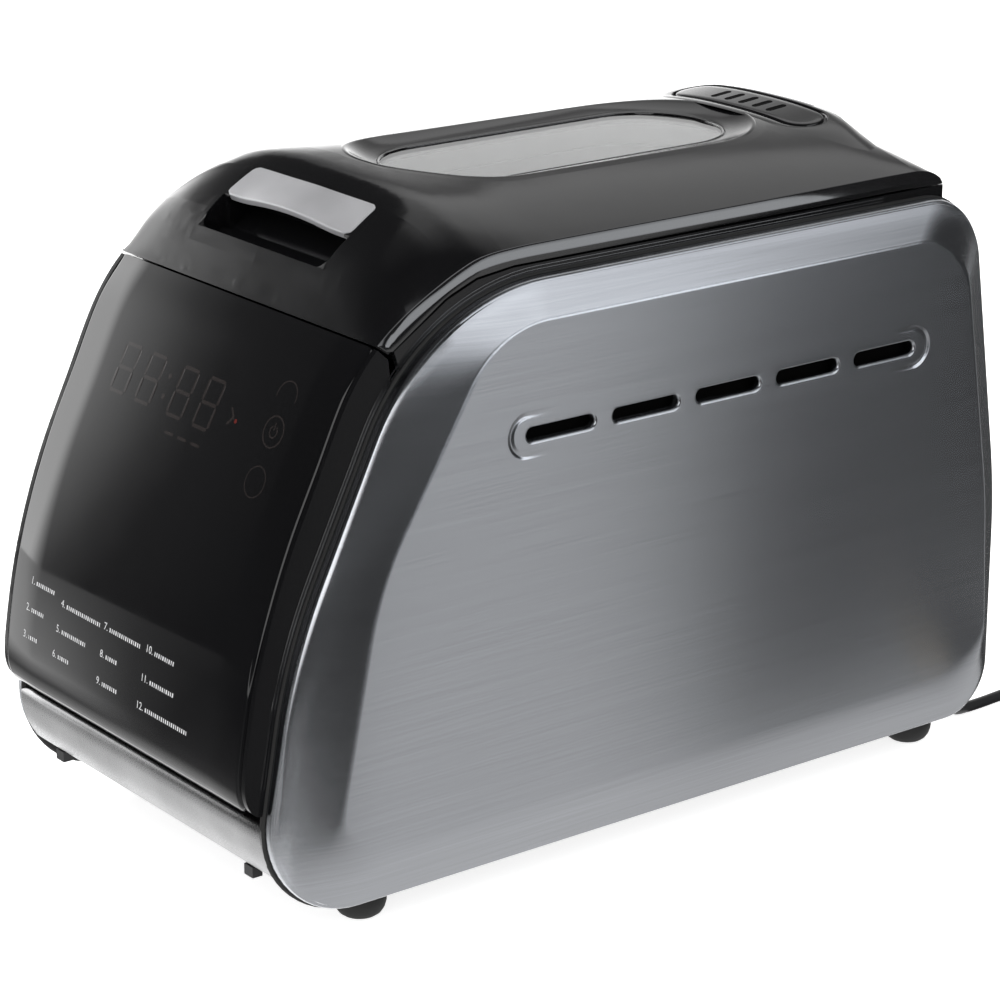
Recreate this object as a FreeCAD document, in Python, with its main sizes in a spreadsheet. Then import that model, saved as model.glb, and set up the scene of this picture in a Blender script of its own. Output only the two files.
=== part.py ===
import FreeCAD, Part
import math
import os
import Sketcher
from FreeCAD import Vector, Placement, Rotation

# Bread machine, millimetres.  +Z up, the control panel faces -Y, +X is the
# object's right-hand side.  Origin on the floor, under the middle of the body.

doc = FreeCAD.newDocument("bread_machine")
sheet = doc.addObject("Spreadsheet::Sheet", "sizes")

SIZES = [
    ("edge_x", 97.3, "half width over the rolled edges of the steel sides"),
    ("plateau_x", 106.3, "half width over the raised middle of the steel sides"),
    ("flange_x", 92.3, "inner end of the rolled edge"),
    ("sheet_wall", 1.2, "wall of a steel side"),
    ("body_half", 91.5, "half width of everything between the steel sides"),
    ("panel_half", 88.8, "half width of the control panel"),
    ("panel_wall", 3.0, "thickness of the control panel"),
    ("slot_length", 34.0, "side slot, end to end"),
    ("slot_height", 6.4, "side slot, height"),
    ("slot_pitch", 42.65, "side slot spacing"),
    ("slot_level", 195.2, "height of the row of slots"),
    ("slot_middle", 31.2, "middle slot, front to back"),
    ("base_level", 12.5, "underside of the base tray"),
    ("foot_radius", 11.0, "rubber foot"),
    ("foot_side", 76.0, "feet, left and right of the middle"),
    ("foot_front", -131.0, "front feet"),
    ("foot_rear", 168.0, "rear feet"),
    ("oven_y", 27.0, "middle of the oven and the drive spindle"),
    ("oven_half_x", 80.0, "half width of the oven chamber"),
    ("oven_half_y", 105.0, "half length of the oven chamber"),
    ("oven_floor", 62.0, "underside of the oven floor"),
    ("oven_top", 247.0, "top of the oven flange"),
    ("oven_corner", 22.0, "corner radius of the oven"),
    ("oven_wall", 1.0, "oven sheet"),
    ("pan_bottom", 80.0, "underside of the pan floor"),
    ("pan_top", 205.0, "rim of the pan"),
    ("pan_half_x", 65.0, "half width of the pan at the rim"),
    ("pan_half_y", 88.0, "half length of the pan at the rim"),
    ("pan_wall", 1.5, "wall of the pan"),
    ("bail_pivot", 197.0, "height of the bail's pivots"),
    ("bail_arm", 64.0, "bail, pivot to grip"),
    ("bail_wire", 2.5, "radius of the bail's wire"),
    ("bail_angle", 10.8, "bail at rest, degrees above level"),
    ("shaft_radius", 4.0, "drive shaft, rotor shaft and pan shaft"),
    ("run_gap", 0.05, "radial running clearance of the shafts"),
    ("motor_y", -122.0, "motor axis"),
    ("big_pulley", 36.0, "belt radius of the large pulley"),
    ("small_pulley", 8.0, "belt radius of the motor pulley"),
    ("belt_gap", 0.3, "belt to pulley"),
    ("belt_wall", 2.4, "belt thickness"),
    ("belt_low", 24.4, "lower edge of the belt"),
    ("belt_width", 7.2, "belt width"),
    ("chassis_low", 48.0, "underside of the drive chassis plate"),
    ("chassis_wall", 2.0, "drive chassis plate"),
    ("heater_level", 80.0, "heating element"),
    ("heater_radius", 3.2, "radius of the heating element"),
    ("lid_half", 90.5, "half width of the lid"),
    ("lid_wall", 2.5, "lid shell"),
    ("lid_parting", 258.6, "lower edge of the lid"),
    ("frame_top", 258.0, "upper face of the top frame"),
    ("glass_half", 41.5, "half width of the window glass"),
    ("glass_front", -64.0, "front end of the window glass"),
    ("glass_rear", 114.0, "rear end of the window glass"),
    ("glass_low", 272.6, "underside of the window glass"),
    ("glass_wall", 4.0, "window glass"),
    ("hinge_y", 164.0, "lid hinge axis"),
    ("hinge_z", 254.0, "lid hinge axis"),
    ("hinge_pin", 2.0, "radius of the hinge pins"),
    ("cord_radius", 2.5, "mains lead"),
    ("coil_mid", 28.0, "radius of the coil at the middle of its turns"),
]
for row, (alias, value, note) in enumerate(SIZES, start=1):
    sheet.set("A%d" % row, note)
    sheet.set("B%d" % row, str(value))
    sheet.setAlias("B%d" % row, alias)
doc.recompute()


def d(alias):
    return float(sheet.get(alias))


NODES = []
X, Y, Z = Vector(1, 0, 0), Vector(0, 1, 0), Vector(0, 0, 1)


# ---------------------------------------------------------------- helpers
def node(obj, label):
    obj.Label = label
    NODES.append((label, obj))
    return obj


def feature(label, shape, place=None):
    obj = doc.addObject("Part::Feature", label)
    obj.Shape = shape
    if place is not None:
        obj.Placement = place
    return node(obj, label)


def helper(name, shape):
    obj = doc.addObject("Part::Feature", name)
    obj.Shape = shape
    return obj


def group(label, shapes):
    return feature(label, Part.makeCompound(shapes))


def new_body(name):
    return doc.addObject("PartDesign::Body", name)


def origin_plane(body, role):
    for f in body.Origin.OriginFeatures:
        if f.Role == role:
            return f
    raise RuntimeError("no plane " + role)


def sketch(body, name, role, offset=0.0, expr=None):
    s = body.newObject("Sketcher::SketchObject", name)
    s.AttachmentSupport = [(origin_plane(body, role), "")]
    s.MapMode = "FlatFace"
    s.AttachmentOffset = Placement(Vector(0, 0, offset), Rotation())
    if expr:
        s.setExpression("AttachmentOffset.Base.z", expr)
    return s


def poly(s, pts):
    """Closed outline; a coordinate given as (alias, delta) is tied to the sheet."""
    def num(c):
        return d(c[0]) + c[1] if isinstance(c, tuple) else c
    flat = [Vector(num(a), num(b), 0) for a, b in pts]
    n = len(flat)
    first = s.GeometryCount
    for i in range(n):
        s.addGeometry(Part.LineSegment(flat[i], flat[(i + 1) % n]), False)
    for i in range(n):
        s.addConstraint(Sketcher.Constraint("Coincident", first + i, 2, first + (i + 1) % n, 1))
    for i, (a, b) in enumerate(pts):
        for c, kind in ((a, "DistanceX"), (b, "DistanceY")):
            v = num(c)
            if abs(v) < 1e-6:
                continue
            k = s.addConstraint(Sketcher.Constraint(kind, -1, 1, first + i, 1, v))
            if isinstance(c, tuple):
                s.setExpression("Constraints[%d]" % k, "sizes.%s + %r" % c)


def circle(s, cx, cy, r, expr=None):
    k = s.addGeometry(Part.Circle(Vector(cx, cy, 0), Z, r), False)
    c = s.addConstraint(Sketcher.Constraint("Radius", k, r))
    if expr:
        s.setExpression("Constraints[%d]" % c, expr)


def rounded(s, cx, cy, wx, wy, r):
    """Rectangle of full size wx by wy with round corners."""
    hx, hy = wx / 2.0, wy / 2.0
    P = [(cx - hx + r, cy - hy), (cx + hx - r, cy - hy), (cx + hx, cy - hy + r), (cx + hx, cy + hy - r),
         (cx + hx - r, cy + hy), (cx - hx + r, cy + hy), (cx - hx, cy + hy - r), (cx - hx, cy - hy + r)]
    C = [(cx + hx - r, cy - hy + r, -90), (cx + hx - r, cy + hy - r, 0), (cx - hx + r, cy + hy - r, 90), (cx - hx + r, cy - hy + r, 180)]
    for i in range(4):
        a, b = P[2 * i], P[2 * i + 1]
        s.addGeometry(Part.LineSegment(Vector(a[0], a[1], 0), Vector(b[0], b[1], 0)), False)
        x, y, a0 = C[i]
        s.addGeometry(Part.ArcOfCircle(Part.Circle(Vector(x, y, 0), Z, r), math.radians(a0), math.radians(a0 + 90)), False)


def pad(body, s, length, expr=None):
    f = body.newObject("PartDesign::Pad", s.Name + "_pad")
    f.Profile = s
    f.Length = length
    if expr:
        f.setExpression("Length", expr)
    return f


def pocket(body, s, length, expr=None):
    f = body.newObject("PartDesign::Pocket", s.Name + "_pocket")
    f.Profile = s
    f.Length = length
    if expr:
        f.setExpression("Length", expr)
    return f


def turned(label, pts, at=(0, 0, 0), named=True):
    """Revolved piece about the vertical through at; pts are (radius, height)."""
    b = new_body(label)
    s = sketch(b, label + "_outline", "XZ_Plane")
    poly(s, pts)
    f = b.newObject("PartDesign::Revolution", label + "_turn")
    f.Profile = s
    f.ReferenceAxis = (s, ["V_Axis"])
    f.Angle = 360.0
    b.Placement = Placement(Vector(*at), Rotation())
    return node(b, label) if named else b


def cut(label, base, tools):
    t = tools[0]
    if len(tools) > 1:
        t = doc.addObject("Part::MultiFuse", label + "_tools")
        t.Shapes = tools
    c = doc.addObject("Part::Cut", label)
    c.Base = base
    c.Tool = t
    return node(c, label)


def box_tool(name, x0, x1, y0, y1, z0, z1):
    b = doc.addObject("Part::Box", name)
    b.Length, b.Width, b.Height = x1 - x0, y1 - y0, z1 - z0
    b.Placement = Placement(Vector(x0, y0, z0), Rotation())
    return b


def rod_tool(name, r, length, at, axis=Z, expr=None):
    c = doc.addObject("Part::Cylinder", name)
    c.Radius, c.Height = r, length
    if expr:
        c.setExpression("Radius", expr)
    c.Placement = Placement(Vector(*at), Rotation(Z, axis))
    return c


def box(x0, x1, y0, y1, z0, z1):
    return Part.makeBox(x1 - x0, y1 - y0, z1 - z0, Vector(x0, y0, z0))


def rod(r, length, at, axis=Z):
    return Part.makeCylinder(r, length, Vector(*at), axis)


def turn_shape(pts, at=(0, 0, 0)):
    w = Part.makePolygon([Vector(r, 0, z) for r, z in pts] + [Vector(pts[0][0], 0, pts[0][1])])
    s = Part.Face(w).revolve(Vector(0, 0, 0), Z, 360)
    s.translate(Vector(*at))
    return s


def round_poly(corners, x):
    """Closed outline in the plane X = x: corners are (y, z, radius), joined by lines and tangent arcs."""
    n = len(corners)
    marks = []
    for i in range(n):
        p0, p1, p2 = corners[i - 1], corners[i], corners[(i + 1) % n]
        a = Vector(0, p0[0] - p1[0], p0[1] - p1[1])
        b = Vector(0, p2[0] - p1[0], p2[1] - p1[1])
        a.normalize()
        b.normalize()
        half = math.acos(max(-1, min(1, a.dot(b)))) / 2.0
        t = p1[2] / math.tan(half)
        m = a + b
        m.normalize()
        c = Vector(x, p1[0], p1[1])
        centre = c + m * (p1[2] / math.sin(half))
        marks.append((c + a * t, centre - m * p1[2], c + b * t))
    edges = []
    for i in range(n):
        s0, mid, s1 = marks[i]
        edges.append(Part.Arc(s0, mid, s1).toShape())
        edges.append(Part.LineSegment(s1, marks[(i + 1) % n][0]).toShape())
    return Part.Wire(edges)


def inset(corners, t):
    """The same outline moved inwards by t."""
    n = len(corners)
    cy = sum(c[0] for c in corners) / n
    cz = sum(c[1] for c in corners) / n
    lines = []
    for i in range(n):
        a, b = corners[i], corners[(i + 1) % n]
        dy, dz = b[0] - a[0], b[1] - a[1]
        L = math.hypot(dy, dz)
        ny, nz = -dz / L, dy / L
        if (cy - a[0]) * ny + (cz - a[1]) * nz < 0:
            ny, nz = -ny, -nz
        lines.append(((a[0] + ny * t, a[1] + nz * t), (dy, dz)))
    out = []
    for i in range(n):
        (p, u), (q, v) = lines[i - 1], lines[i]
        den = u[0] * v[1] - u[1] * v[0]
        k = ((q[0] - p[0]) * v[1] - (q[1] - p[1]) * v[0]) / den
        out.append((p[0] + u[0] * k, p[1] + u[1] * k, max(corners[i][2] - t, 1.0)))
    return out


def yz_prism(pts, half):
    """Prism of a (y, z) outline, from X = -half to +half."""
    w = Part.makePolygon([Vector(-half, a, b) for a, b in pts] + [Vector(-half, pts[0][0], pts[0][1])])
    return Part.Face(w).extrude(Vector(2 * half, 0, 0))


def stadium(hx, y0, y1, z0, z1, corner=None):
    """Upright prism, long in Y, with round ends."""
    r = corner if corner else hx
    e = []
    P = [(-hx + r, y0), (hx - r, y0), (hx, y0 + r), (hx, y1 - r), (hx - r, y1), (-hx + r, y1), (-hx, y1 - r), (-hx, y0 + r)]
    C = [(hx - r, y0 + r, -45), (hx - r, y1 - r, 45), (-hx + r, y1 - r, 135), (-hx + r, y0 + r, 225)]
    for i in range(4):
        a, b, c = P[2 * i], P[2 * i + 1], P[(2 * i + 2) % 8]
        va, vb, vc = Vector(a[0], a[1], z0), Vector(b[0], b[1], z0), Vector(c[0], c[1], z0)
        if (vb - va).Length > 1e-6:
            e.append(Part.LineSegment(va, vb).toShape())
        m = Vector(C[i][0] + r * math.cos(math.radians(C[i][2])), C[i][1] + r * math.sin(math.radians(C[i][2])), z0)
        e.append(Part.Arc(vb, m, vc).toShape())
    w = Part.Wire(e)
    if z1 is None:
        return w
    return Part.Face(w).extrude(Vector(0, 0, z1 - z0))


def smooth(nodes, v):
    """Monotone cubic through (place, value) pairs."""
    xs = [a for a, b in nodes]
    ys = [b for a, b in nodes]
    n = len(xs)
    h = [xs[i + 1] - xs[i] for i in range(n - 1)]
    dl = [(ys[i + 1] - ys[i]) / h[i] for i in range(n - 1)]
    m = [dl[0]] + [0.0] * (n - 2) + [dl[-1]]
    for i in range(1, n - 1):
        if dl[i - 1] * dl[i] > 0:
            w1, w2 = 2 * h[i] + h[i - 1], h[i] + 2 * h[i - 1]
            m[i] = (w1 + w2) / (w1 / dl[i - 1] + w2 / dl[i])
    v = max(xs[0], min(xs[-1], v))
    i = 0
    while i < n - 2 and v > xs[i + 1]:
        i += 1
    t = (v - xs[i]) / h[i]
    return ((1 + 2 * t) * (1 - t) ** 2 * ys[i] + t * (1 - t) ** 2 * h[i] * m[i]
            + t * t * (3 - 2 * t) * ys[i + 1] + t * t * (t - 1) * h[i] * m[i + 1])


# ------------------------------------------------------- steel side panels
EDGE = [(-110.2, 253.7, 90.0), (-174.0, 124.0, 220.0), (-193.5, 14.8, 40.0),
        (194.3, 14.8, 22.0), (194.7, 118.0, 300.0), (175.2, 253.7, 30.0)]
CREASE = [(-84.4, 240.0, 43.0), (-141.2, 148.3, 130.0), (-164.8, 33.5, 20.0),
          (184.8, 33.2, 28.0), (180.0, 120.0, 250.0), (161.4, 240.0, 32.0)]


def side_blank(t, x0):
    xe, xp = d("edge_x") - 0.7 * t, d("plateau_x") - t
    edge, crease = inset(EDGE, t) if t else EDGE, inset(CREASE, 0.35 * t) if t else CREASE
    low = Part.Face(round_poly(edge, x0)).extrude(Vector(xe - x0, 0, 0))
    bevel = Part.makeLoft([round_poly(edge, xe), round_poly(crease, xp)], True, True)
    return low.fuse(bevel).removeSplitter()


def side_panel():
    wall = d("sheet_wall")
    outer = side_blank(0.0, d("flange_x"))
    xe, xp = d("edge_x"), d("plateau_x")
    rim = [e for e in outer.Edges if abs(e.BoundBox.XMin - xe) < 1e-4 and abs(e.BoundBox.XMax - xe) < 1e-4]
    top = [e for e in outer.Edges if abs(e.BoundBox.XMin - xp) < 1e-4 and abs(e.BoundBox.XMax - xp) < 1e-4]
    for r, edges in ((2.5, rim), (9.0, top)):
        try:
            keep = [e for e in outer.Edges if any(e.CenterOfMass.distanceToPoint(q.CenterOfMass) < 1e-3 for q in edges)]
            trial = outer.makeFillet(r, keep)
            if trial.isValid() and trial.Volume > 0.9 * outer.Volume:
                outer = trial
                print("side panel edge rounded", r)
        except Exception as err:
            print("side panel edge left sharp", r, err)
    shell = outer.cut(side_blank(wall, d("flange_x") - 1.0))
    n = 5
    L, H = d("slot_length"), d("slot_height")
    for i in range(n):
        yc = d("slot_middle") + (i - (n - 1) / 2.0) * d("slot_pitch")
        e = []
        y0, y1, zc, r = yc - L / 2 + H / 2, yc + L / 2 - H / 2, d("slot_level"), H / 2
        x = xp - 6.0
        e = [Part.LineSegment(Vector(x, y0, zc - r), Vector(x, y1, zc - r)).toShape(),
             Part.Arc(Vector(x, y1, zc - r), Vector(x, y1 + r, zc), Vector(x, y1, zc + r)).toShape(),
             Part.LineSegment(Vector(x, y1, zc + r), Vector(x, y0, zc + r)).toShape(),
             Part.Arc(Vector(x, y0, zc + r), Vector(x, y0 - r, zc), Vector(x, y0, zc - r)).toShape()]
        shell = shell.cut(Part.Face(Part.Wire(e)).extrude(Vector(12, 0, 0)))
    # shallow pressed surround of the slots
    zc, r = d("slot_level"), 8.2
    y0, y1, x = -70.5, 132.9, xp - 0.5
    e = [Part.LineSegment(Vector(x, y0, zc - r), Vector(x, y1, zc - r)).toShape(),
         Part.Arc(Vector(x, y1, zc - r), Vector(x, y1 + r, zc), Vector(x, y1, zc + r)).toShape(),
         Part.LineSegment(Vector(x, y1, zc + r), Vector(x, y0, zc + r)).toShape(),
         Part.Arc(Vector(x, y0, zc + r), Vector(x, y0 - r, zc), Vector(x, y0, zc - r)).toShape()]
    return shell.cut(Part.Face(Part.Wire(e)).extrude(Vector(3, 0, 0)))


right = side_panel()
feature("side_panel_right", right)
feature("side_panel_left", right.mirror(Vector(0, 0, 0), X))

# ------------------------------------------------------- control panel and front
FRONT = [(-131.0, 236.9), (-143.3, 221.8), (-157.5, 193.5), (-171.1, 165.1), (-182.1, 136.0),
         (-188.7, 112.3), (-193.3, 87.9), (-194.7, 76.2), (-194.4, 70.2), (-192.5, 65.0), (-189.0, 61.4)]


def front_curve(depth, extra=0.0):
    """Points of the front's outline moved inwards by depth."""
    out = []
    n = len(FRONT)
    for i in range(n):
        a, b = FRONT[max(i - 1, 0)], FRONT[min(i + 1, n - 1)]
        ty, tz = b[0] - a[0], b[1] - a[1]
        L = math.hypot(ty, tz)
        ty, tz = ty / L, tz / L
        ny, nz = -tz, ty
        p = (FRONT[i][0] + ny * depth, FRONT[i][1] + nz * depth)
        if extra and i == 0:
            p = (p[0] - ty * extra, p[1] - tz * extra)
        if extra and i == n - 1:
            p = (p[0] + ty * extra, p[1] + tz * extra)
        out.append(p)
    return out


def front_slab(outer, inner, half, extra=0.0, back=None):
    """Solid between two depths behind the front's outline."""
    a = [Vector(-half, y, z) for y, z in front_curve(outer, extra)]
    c1 = Part.BSplineCurve()
    c1.interpolate(a)
    if back is None:
        b = [Vector(-half, y, z) for y, z in front_curve(inner, extra)]
        c2 = Part.BSplineCurve()
        c2.interpolate(b)
        edges = [c1.toShape(), Part.LineSegment(a[-1], b[-1]).toShape(), c2.toShape(), Part.LineSegment(b[0], a[0]).toShape()]
    else:
        pts = [a[-1]] + [Vector(-half, y, z) for y, z in back] + [a[0]]
        edges = [c1.toShape()] + [Part.LineSegment(pts[i], pts[i + 1]).toShape() for i in range(len(pts) - 1)]
    face = Part.Face(Part.Wire(Part.__sortEdges__(edges)))
    return face.extrude(Vector(2 * half, 0, 0))


panel = front_slab(0.0, d("panel_wall"), d("panel_half"))
try:
    low = [e for e in panel.Edges if abs(abs(e.CenterOfMass.x) - d("panel_half")) < 1e-3 and e.BoundBox.ZMax < 70.0]
    trial = panel.makeFillet(8.0, low)
    if trial.isValid():
        panel = trial
except Exception as err:
    print("panel corners left square", err)
try:
    lip = [e for e in panel.Edges if e.BoundBox.ZMax < 68.5 and e.BoundBox.YMin < -188.5 and e.BoundBox.XLength > 100]
    trial = panel.makeFillet(1.2, lip)
    if trial.isValid():
        panel = trial
except Exception as err:
    print("panel lip left square", err)
feature("control_panel", panel)

BACK = [(-177.5, 61.0), (-172.0, 100.0), (-152.0, 160.0), (-124.0, 220.0), (-125.3, 231.8)]
frame = front_slab(1.0, 0.0, d("body_half"), 0.0, BACK)
hollow = front_slab(5.7, 0.0, d("body_half") - 2.4, -2.4, [(-150.0, 66.0), (-120.0, 100.0), (-100.0, 160.0), (-90.0, 220.0), (-110.0, 228.0)])
seat = front_slab(-2.0, d("panel_wall") + 0.25, d("panel_half") + 0.3, 0.8)
frame = frame.cut(hollow).cut(seat)
frame = frame.cut(box(-50, 50, -200, -100, 172, 206))
feature("front_frame", frame)

strip = new_body("lower_strip_blank")
s = sketch(strip, "lower_strip_outline", "YZ_Plane", -d("body_half"), "-sizes.body_half")
poly(s, [(-185.4, 60.2), (-187.0, 58.9), (-187.1, 54.0), (-186.4, 48.0), (-184.6, 41.4), (-182.0, 35.6), (-180.2, 33.4), (-177.2, 33.4),
         (-177.2, 35.6), (-179.6, 37.2), (-182.0, 42.6), (-183.8, 48.6), (-184.5, 54.2), (-184.4, 57.8), (-176.0, 57.8), (-176.0, 60.2)])
pad(strip, s, 2 * d("body_half"), "2 * sizes.body_half")
node(strip, "lower_strip")

# ------------------------------------------------------- base, feet, rear cover
tray = new_body("base_blank")
s = sketch(tray, "base_outline", "YZ_Plane", -d("body_half"), "-sizes.body_half")
poly(s, [(-178.0, 32.6), (-149.5, ("base_level", 0.0)), (176.0, ("base_level", 0.0)), (187.3, 28.6), (187.5, 33.0), (184.9, 33.0),
         (184.7, 29.2), (174.7, ("base_level", 2.5)), (-148.7, ("base_level", 2.5)), (-174.4, 32.6)])
pad(tray, s, 2 * d("body_half"), "2 * sizes.body_half")
GLAND = Vector(72.0, 180.2, 18.5)
GDIR = Vector(0, math.cos(math.radians(35)), -math.sin(math.radians(35)))
tools = [rod_tool("gland_hole", 6.1, 16.0, tuple(GLAND - GDIR * 8.0), GDIR)]
for i in range(6):
    y = -20.0 + 22.0 * i
    for sx in (-1, 1):
        tools.append(box_tool("base_vent_%d_%d" % (i, sx + 1), sx * 40.0 - 14.0, sx * 40.0 + 14.0, y - 2.5, y + 2.5, 10.0, 17.0))
for sx in (-1, 1):
    for y in (-138.0, 118.0):
        tools.append(rod_tool("base_screw_hole_%d_%d" % (sx + 1, int(y > 0)), 2.1, 8.0, (sx * 62.0, y, 10.0)))
tabs = [box_tool("tab_left", -75.0, -69.0, -180.6, -176.0, 28.4, 32.9), box_tool("tab_right", 69.0, 75.0, -180.6, -176.0, 28.4, 32.9)]
whole = doc.addObject("Part::MultiFuse", "base_with_tabs")
whole.Shapes = [tray] + tabs
cut("base_tray", whole, tools)

foot = turn_shape([(3.2, 0.0), (9.4, 0.0), (d("foot_radius"), 1.6), (d("foot_radius"), 9.0), (9.6, d("base_level")), (0.0, d("base_level")),
                   (0.0, 5.0), (3.2, 5.0)])
feet = []
for sx in (-1, 1):
    for y in (d("foot_front"), d("foot_rear")):
        f = foot.copy()
        f.translate(Vector(sx * d("foot_side"), y, 0))
        feet.append(f)
group("rubber_feet", feet)

rear = new_body("rear_blank")
s = sketch(rear, "rear_outline", "YZ_Plane", -d("body_half"), "-sizes.body_half")
poly(s, [(189.4, 34.0), (192.9, 44.0), (193.9, 60.0), (193.9, 118.0), (188.2, 164.0), (180.8, 208.0), (174.6, 231.0), (169.6, 239.6), (161.8, 246.0),
         (160.2, 243.9), (167.4, 238.0), (172.0, 230.2), (178.3, 207.3), (185.7, 163.5), (191.3, 117.8), (191.3, 60.2), (190.4, 44.8), (186.8, 34.0)])
pad(rear, s, 2 * d("body_half"), "2 * sizes.body_half")
tools = []
for i in range(7):
    z = 118.0 - 11.0 * i
    for k, sx in enumerate((-1, 1)):
        tools.append(box_tool("rear_vent_%d_%d" % (i, k), sx * 38.0 - 26.0, sx * 38.0 + 26.0, 180.0, 198.0, z - 2.2, z + 2.2))
SCREWS = [(-80.0, 64.0), (80.0, 64.0), (-80.0, 150.0), (80.0, 150.0)]


def rear_face(z):
    return 193.9 if z < 118 else 193.9 - (z - 118.0) * 5.7 / 46.0


for i, (x, z) in enumerate(SCREWS):
    tools.append(rod_tool("rear_screw_hole_%d" % i, 2.1, 30.0, (x, 170.0, z), Y))
    tools.append(rod_tool("rear_screw_seat_%d" % i, 4.4, 8.0, (x, rear_face(z) - 1.7, z), Y))
cut("rear_cover", rear, tools)


def screw(r_head, h_head, r_thread, length):
    """Pan-head screw, head up, with a cross recess."""
    s = turn_shape([(0, -length), (r_thread, -length), (r_thread, 0), (r_head, 0), (r_head, 0.55 * h_head), (0.72 * r_head, h_head), (0, h_head)])
    c = box(-r_head * 0.55, r_head * 0.55, -r_head * 0.12, r_head * 0.12, h_head * 0.35, h_head * 2)
    e = box(-r_head * 0.12, r_head * 0.12, -r_head * 0.55, r_head * 0.55, h_head * 0.35, h_head * 2)
    return s.cut(c.fuse(e))


heads = []
for x, z in SCREWS:
    q = screw(4.0, 2.0, 1.9, 8.0)
    q.Placement = Placement(Vector(x, rear_face(z) - 1.7, z), Rotation(X, -90))
    heads.append(q)

# ------------------------------------------------------- chassis plate and its pillars
oy, my = d("oven_y"), d("motor_y")
b = new_body("drive_chassis")
s = sketch(b, "chassis_outline", "XY_Plane", d("chassis_low"), "sizes.chassis_low")
rounded(s, 0.0, -16.0, 144.0, 296.0, 10.0)
circle(s, 0.0, oy, 13.4)
circle(s, 0.0, my, 12.5)
pad(b, s, d("chassis_wall"), "sizes.chassis_wall")
node(b, "drive_chassis")
ct = d("chassis_low") + d("chassis_wall")
posts = []
for sx in (-1, 1):
    for y in (-138.0, 118.0):
        posts.append(rod(6.0, d("chassis_low") - d("base_level") - 2.5, (sx * 62.0, y, d("base_level") + 2.5)).cut(rod(1.95, 10.0, (sx * 62.0, y, d("base_level")))))
    for y in (oy - 75.0, oy + 75.0):
        posts.append(rod(5.0, d("oven_floor") - ct, (sx * 55.0, y, ct)))
group("chassis_pillars", posts)

# ------------------------------------------------------- spindle
turned("bearing_housing", [(7.05, 38.0), (13.0, 38.0), (13.0, 50.0), (28.0, 50.0), (28.0, 54.0), (14.0, 55.0), (12.0, 61.0), (7.05, 61.0)], (0, oy, 0))
sr, rg = d("shaft_radius"), d("run_gap")
bush = []
for z0, z1 in ((38.2, 47.2), (51.8, 60.8)):
    bush.append(turn_shape([(sr + rg, z0), (7.0, z0), (7.0, z1), (sr + rg, z1)], (0, oy, 0)))
group("spindle_bushes", bush)
turned("drive_shaft", [(0, 19.0), (("shaft_radius", -0.6), 19.0), (("shaft_radius", 0.0), 19.6), (("shaft_radius", 0.0), 61.2), (6.2, 61.2), (6.2, 63.4),
                       (("shaft_radius", 0.0), 63.4), (("shaft_radius", 0.0), 65.8), (("shaft_radius", -0.6), 66.4), (0, 66.4)], (0, oy, 0))
b = new_body("drive_coupler")
s = sketch(b, "coupler_disc", "XY_Plane", 63.8)
circle(s, 0, 0, 16.0)
circle(s, 0, 0, sr + 0.02, "sizes.shaft_radius + 0.02")
pad(b, s, 3.2)
s = sketch(b, "coupler_dogs", "XY_Plane", 67.0)
poly(s, [(-3.5, 9.5), (3.5, 9.5), (3.5, 15.2), (-3.5, 15.2)])
poly(s, [(-3.5, -15.2), (3.5, -15.2), (3.5, -9.5), (-3.5, -9.5)])
pad(b, s, 5.4)
b.Placement = Placement(Vector(0, oy, 0), Rotation())
node(b, "drive_coupler")
bp, sp = d("big_pulley"), d("small_pulley")
turned("large_pulley", [(sr + 0.02, 20.2), (11.0, 20.2), (11.0, 26.0), (31.0, 26.0), (31.0, 22.0), (("big_pulley", 2.2), 22.0), (("big_pulley", 2.2), 23.4),
                        (("big_pulley", 0.0), 23.9), (("big_pulley", 0.0), 32.1), (("big_pulley", 2.2), 32.6), (("big_pulley", 2.2), 34.0), (31.0, 34.0),
                        (31.0, 30.0), (11.0, 30.0), (11.0, 37.5), (sr + 0.02, 37.5)], (0, oy, 0))
turned("motor_pulley", [(sr + 0.02, 22.0), (("small_pulley", 2.4), 22.0), (("small_pulley", 2.4), 23.4), (("small_pulley", 0.0), 23.9),
                        (("small_pulley", 0.0), 32.1), (("small_pulley", 2.4), 32.6), (("small_pulley", 2.4), 34.0), (sr + 0.02, 34.0)], (0, my, 0))


def belt_face(ra, rb, z):
    """Loop round two circles of radius ra at the spindle and rb at the motor."""
    c = oy - my
    g = math.asin((ra - rb) / c)
    pts = []
    for sx in (1, -1):
        pts.append((Vector(sx * ra * math.cos(g), oy + ra * math.sin(-g) * -1 * -1, z), Vector(sx * rb * math.cos(g), my - rb * math.sin(g), z)))
    a1, b1 = pts[0]
    a2, b2 = pts[1]
    w = Part.Wire([Part.Arc(a1, Vector(0, oy + ra, z), a2).toShape(), Part.LineSegment(a2, b2).toShape(),
                   Part.Arc(b2, Vector(0, my - rb, z), b1).toShape(), Part.LineSegment(b1, a1).toShape()])
    return Part.Face(w)


bg, bw, bl = d("belt_gap"), d("belt_wall"), d("belt_low")
loop = belt_face(bp + bg + bw, sp + bg + bw, bl).extrude(Vector(0, 0, d("belt_width")))
loop = loop.cut(belt_face(bp + bg, sp + bg, bl - 1).extrude(Vector(0, 0, d("belt_width") + 2)))
feature("drive_belt", loop)

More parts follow.
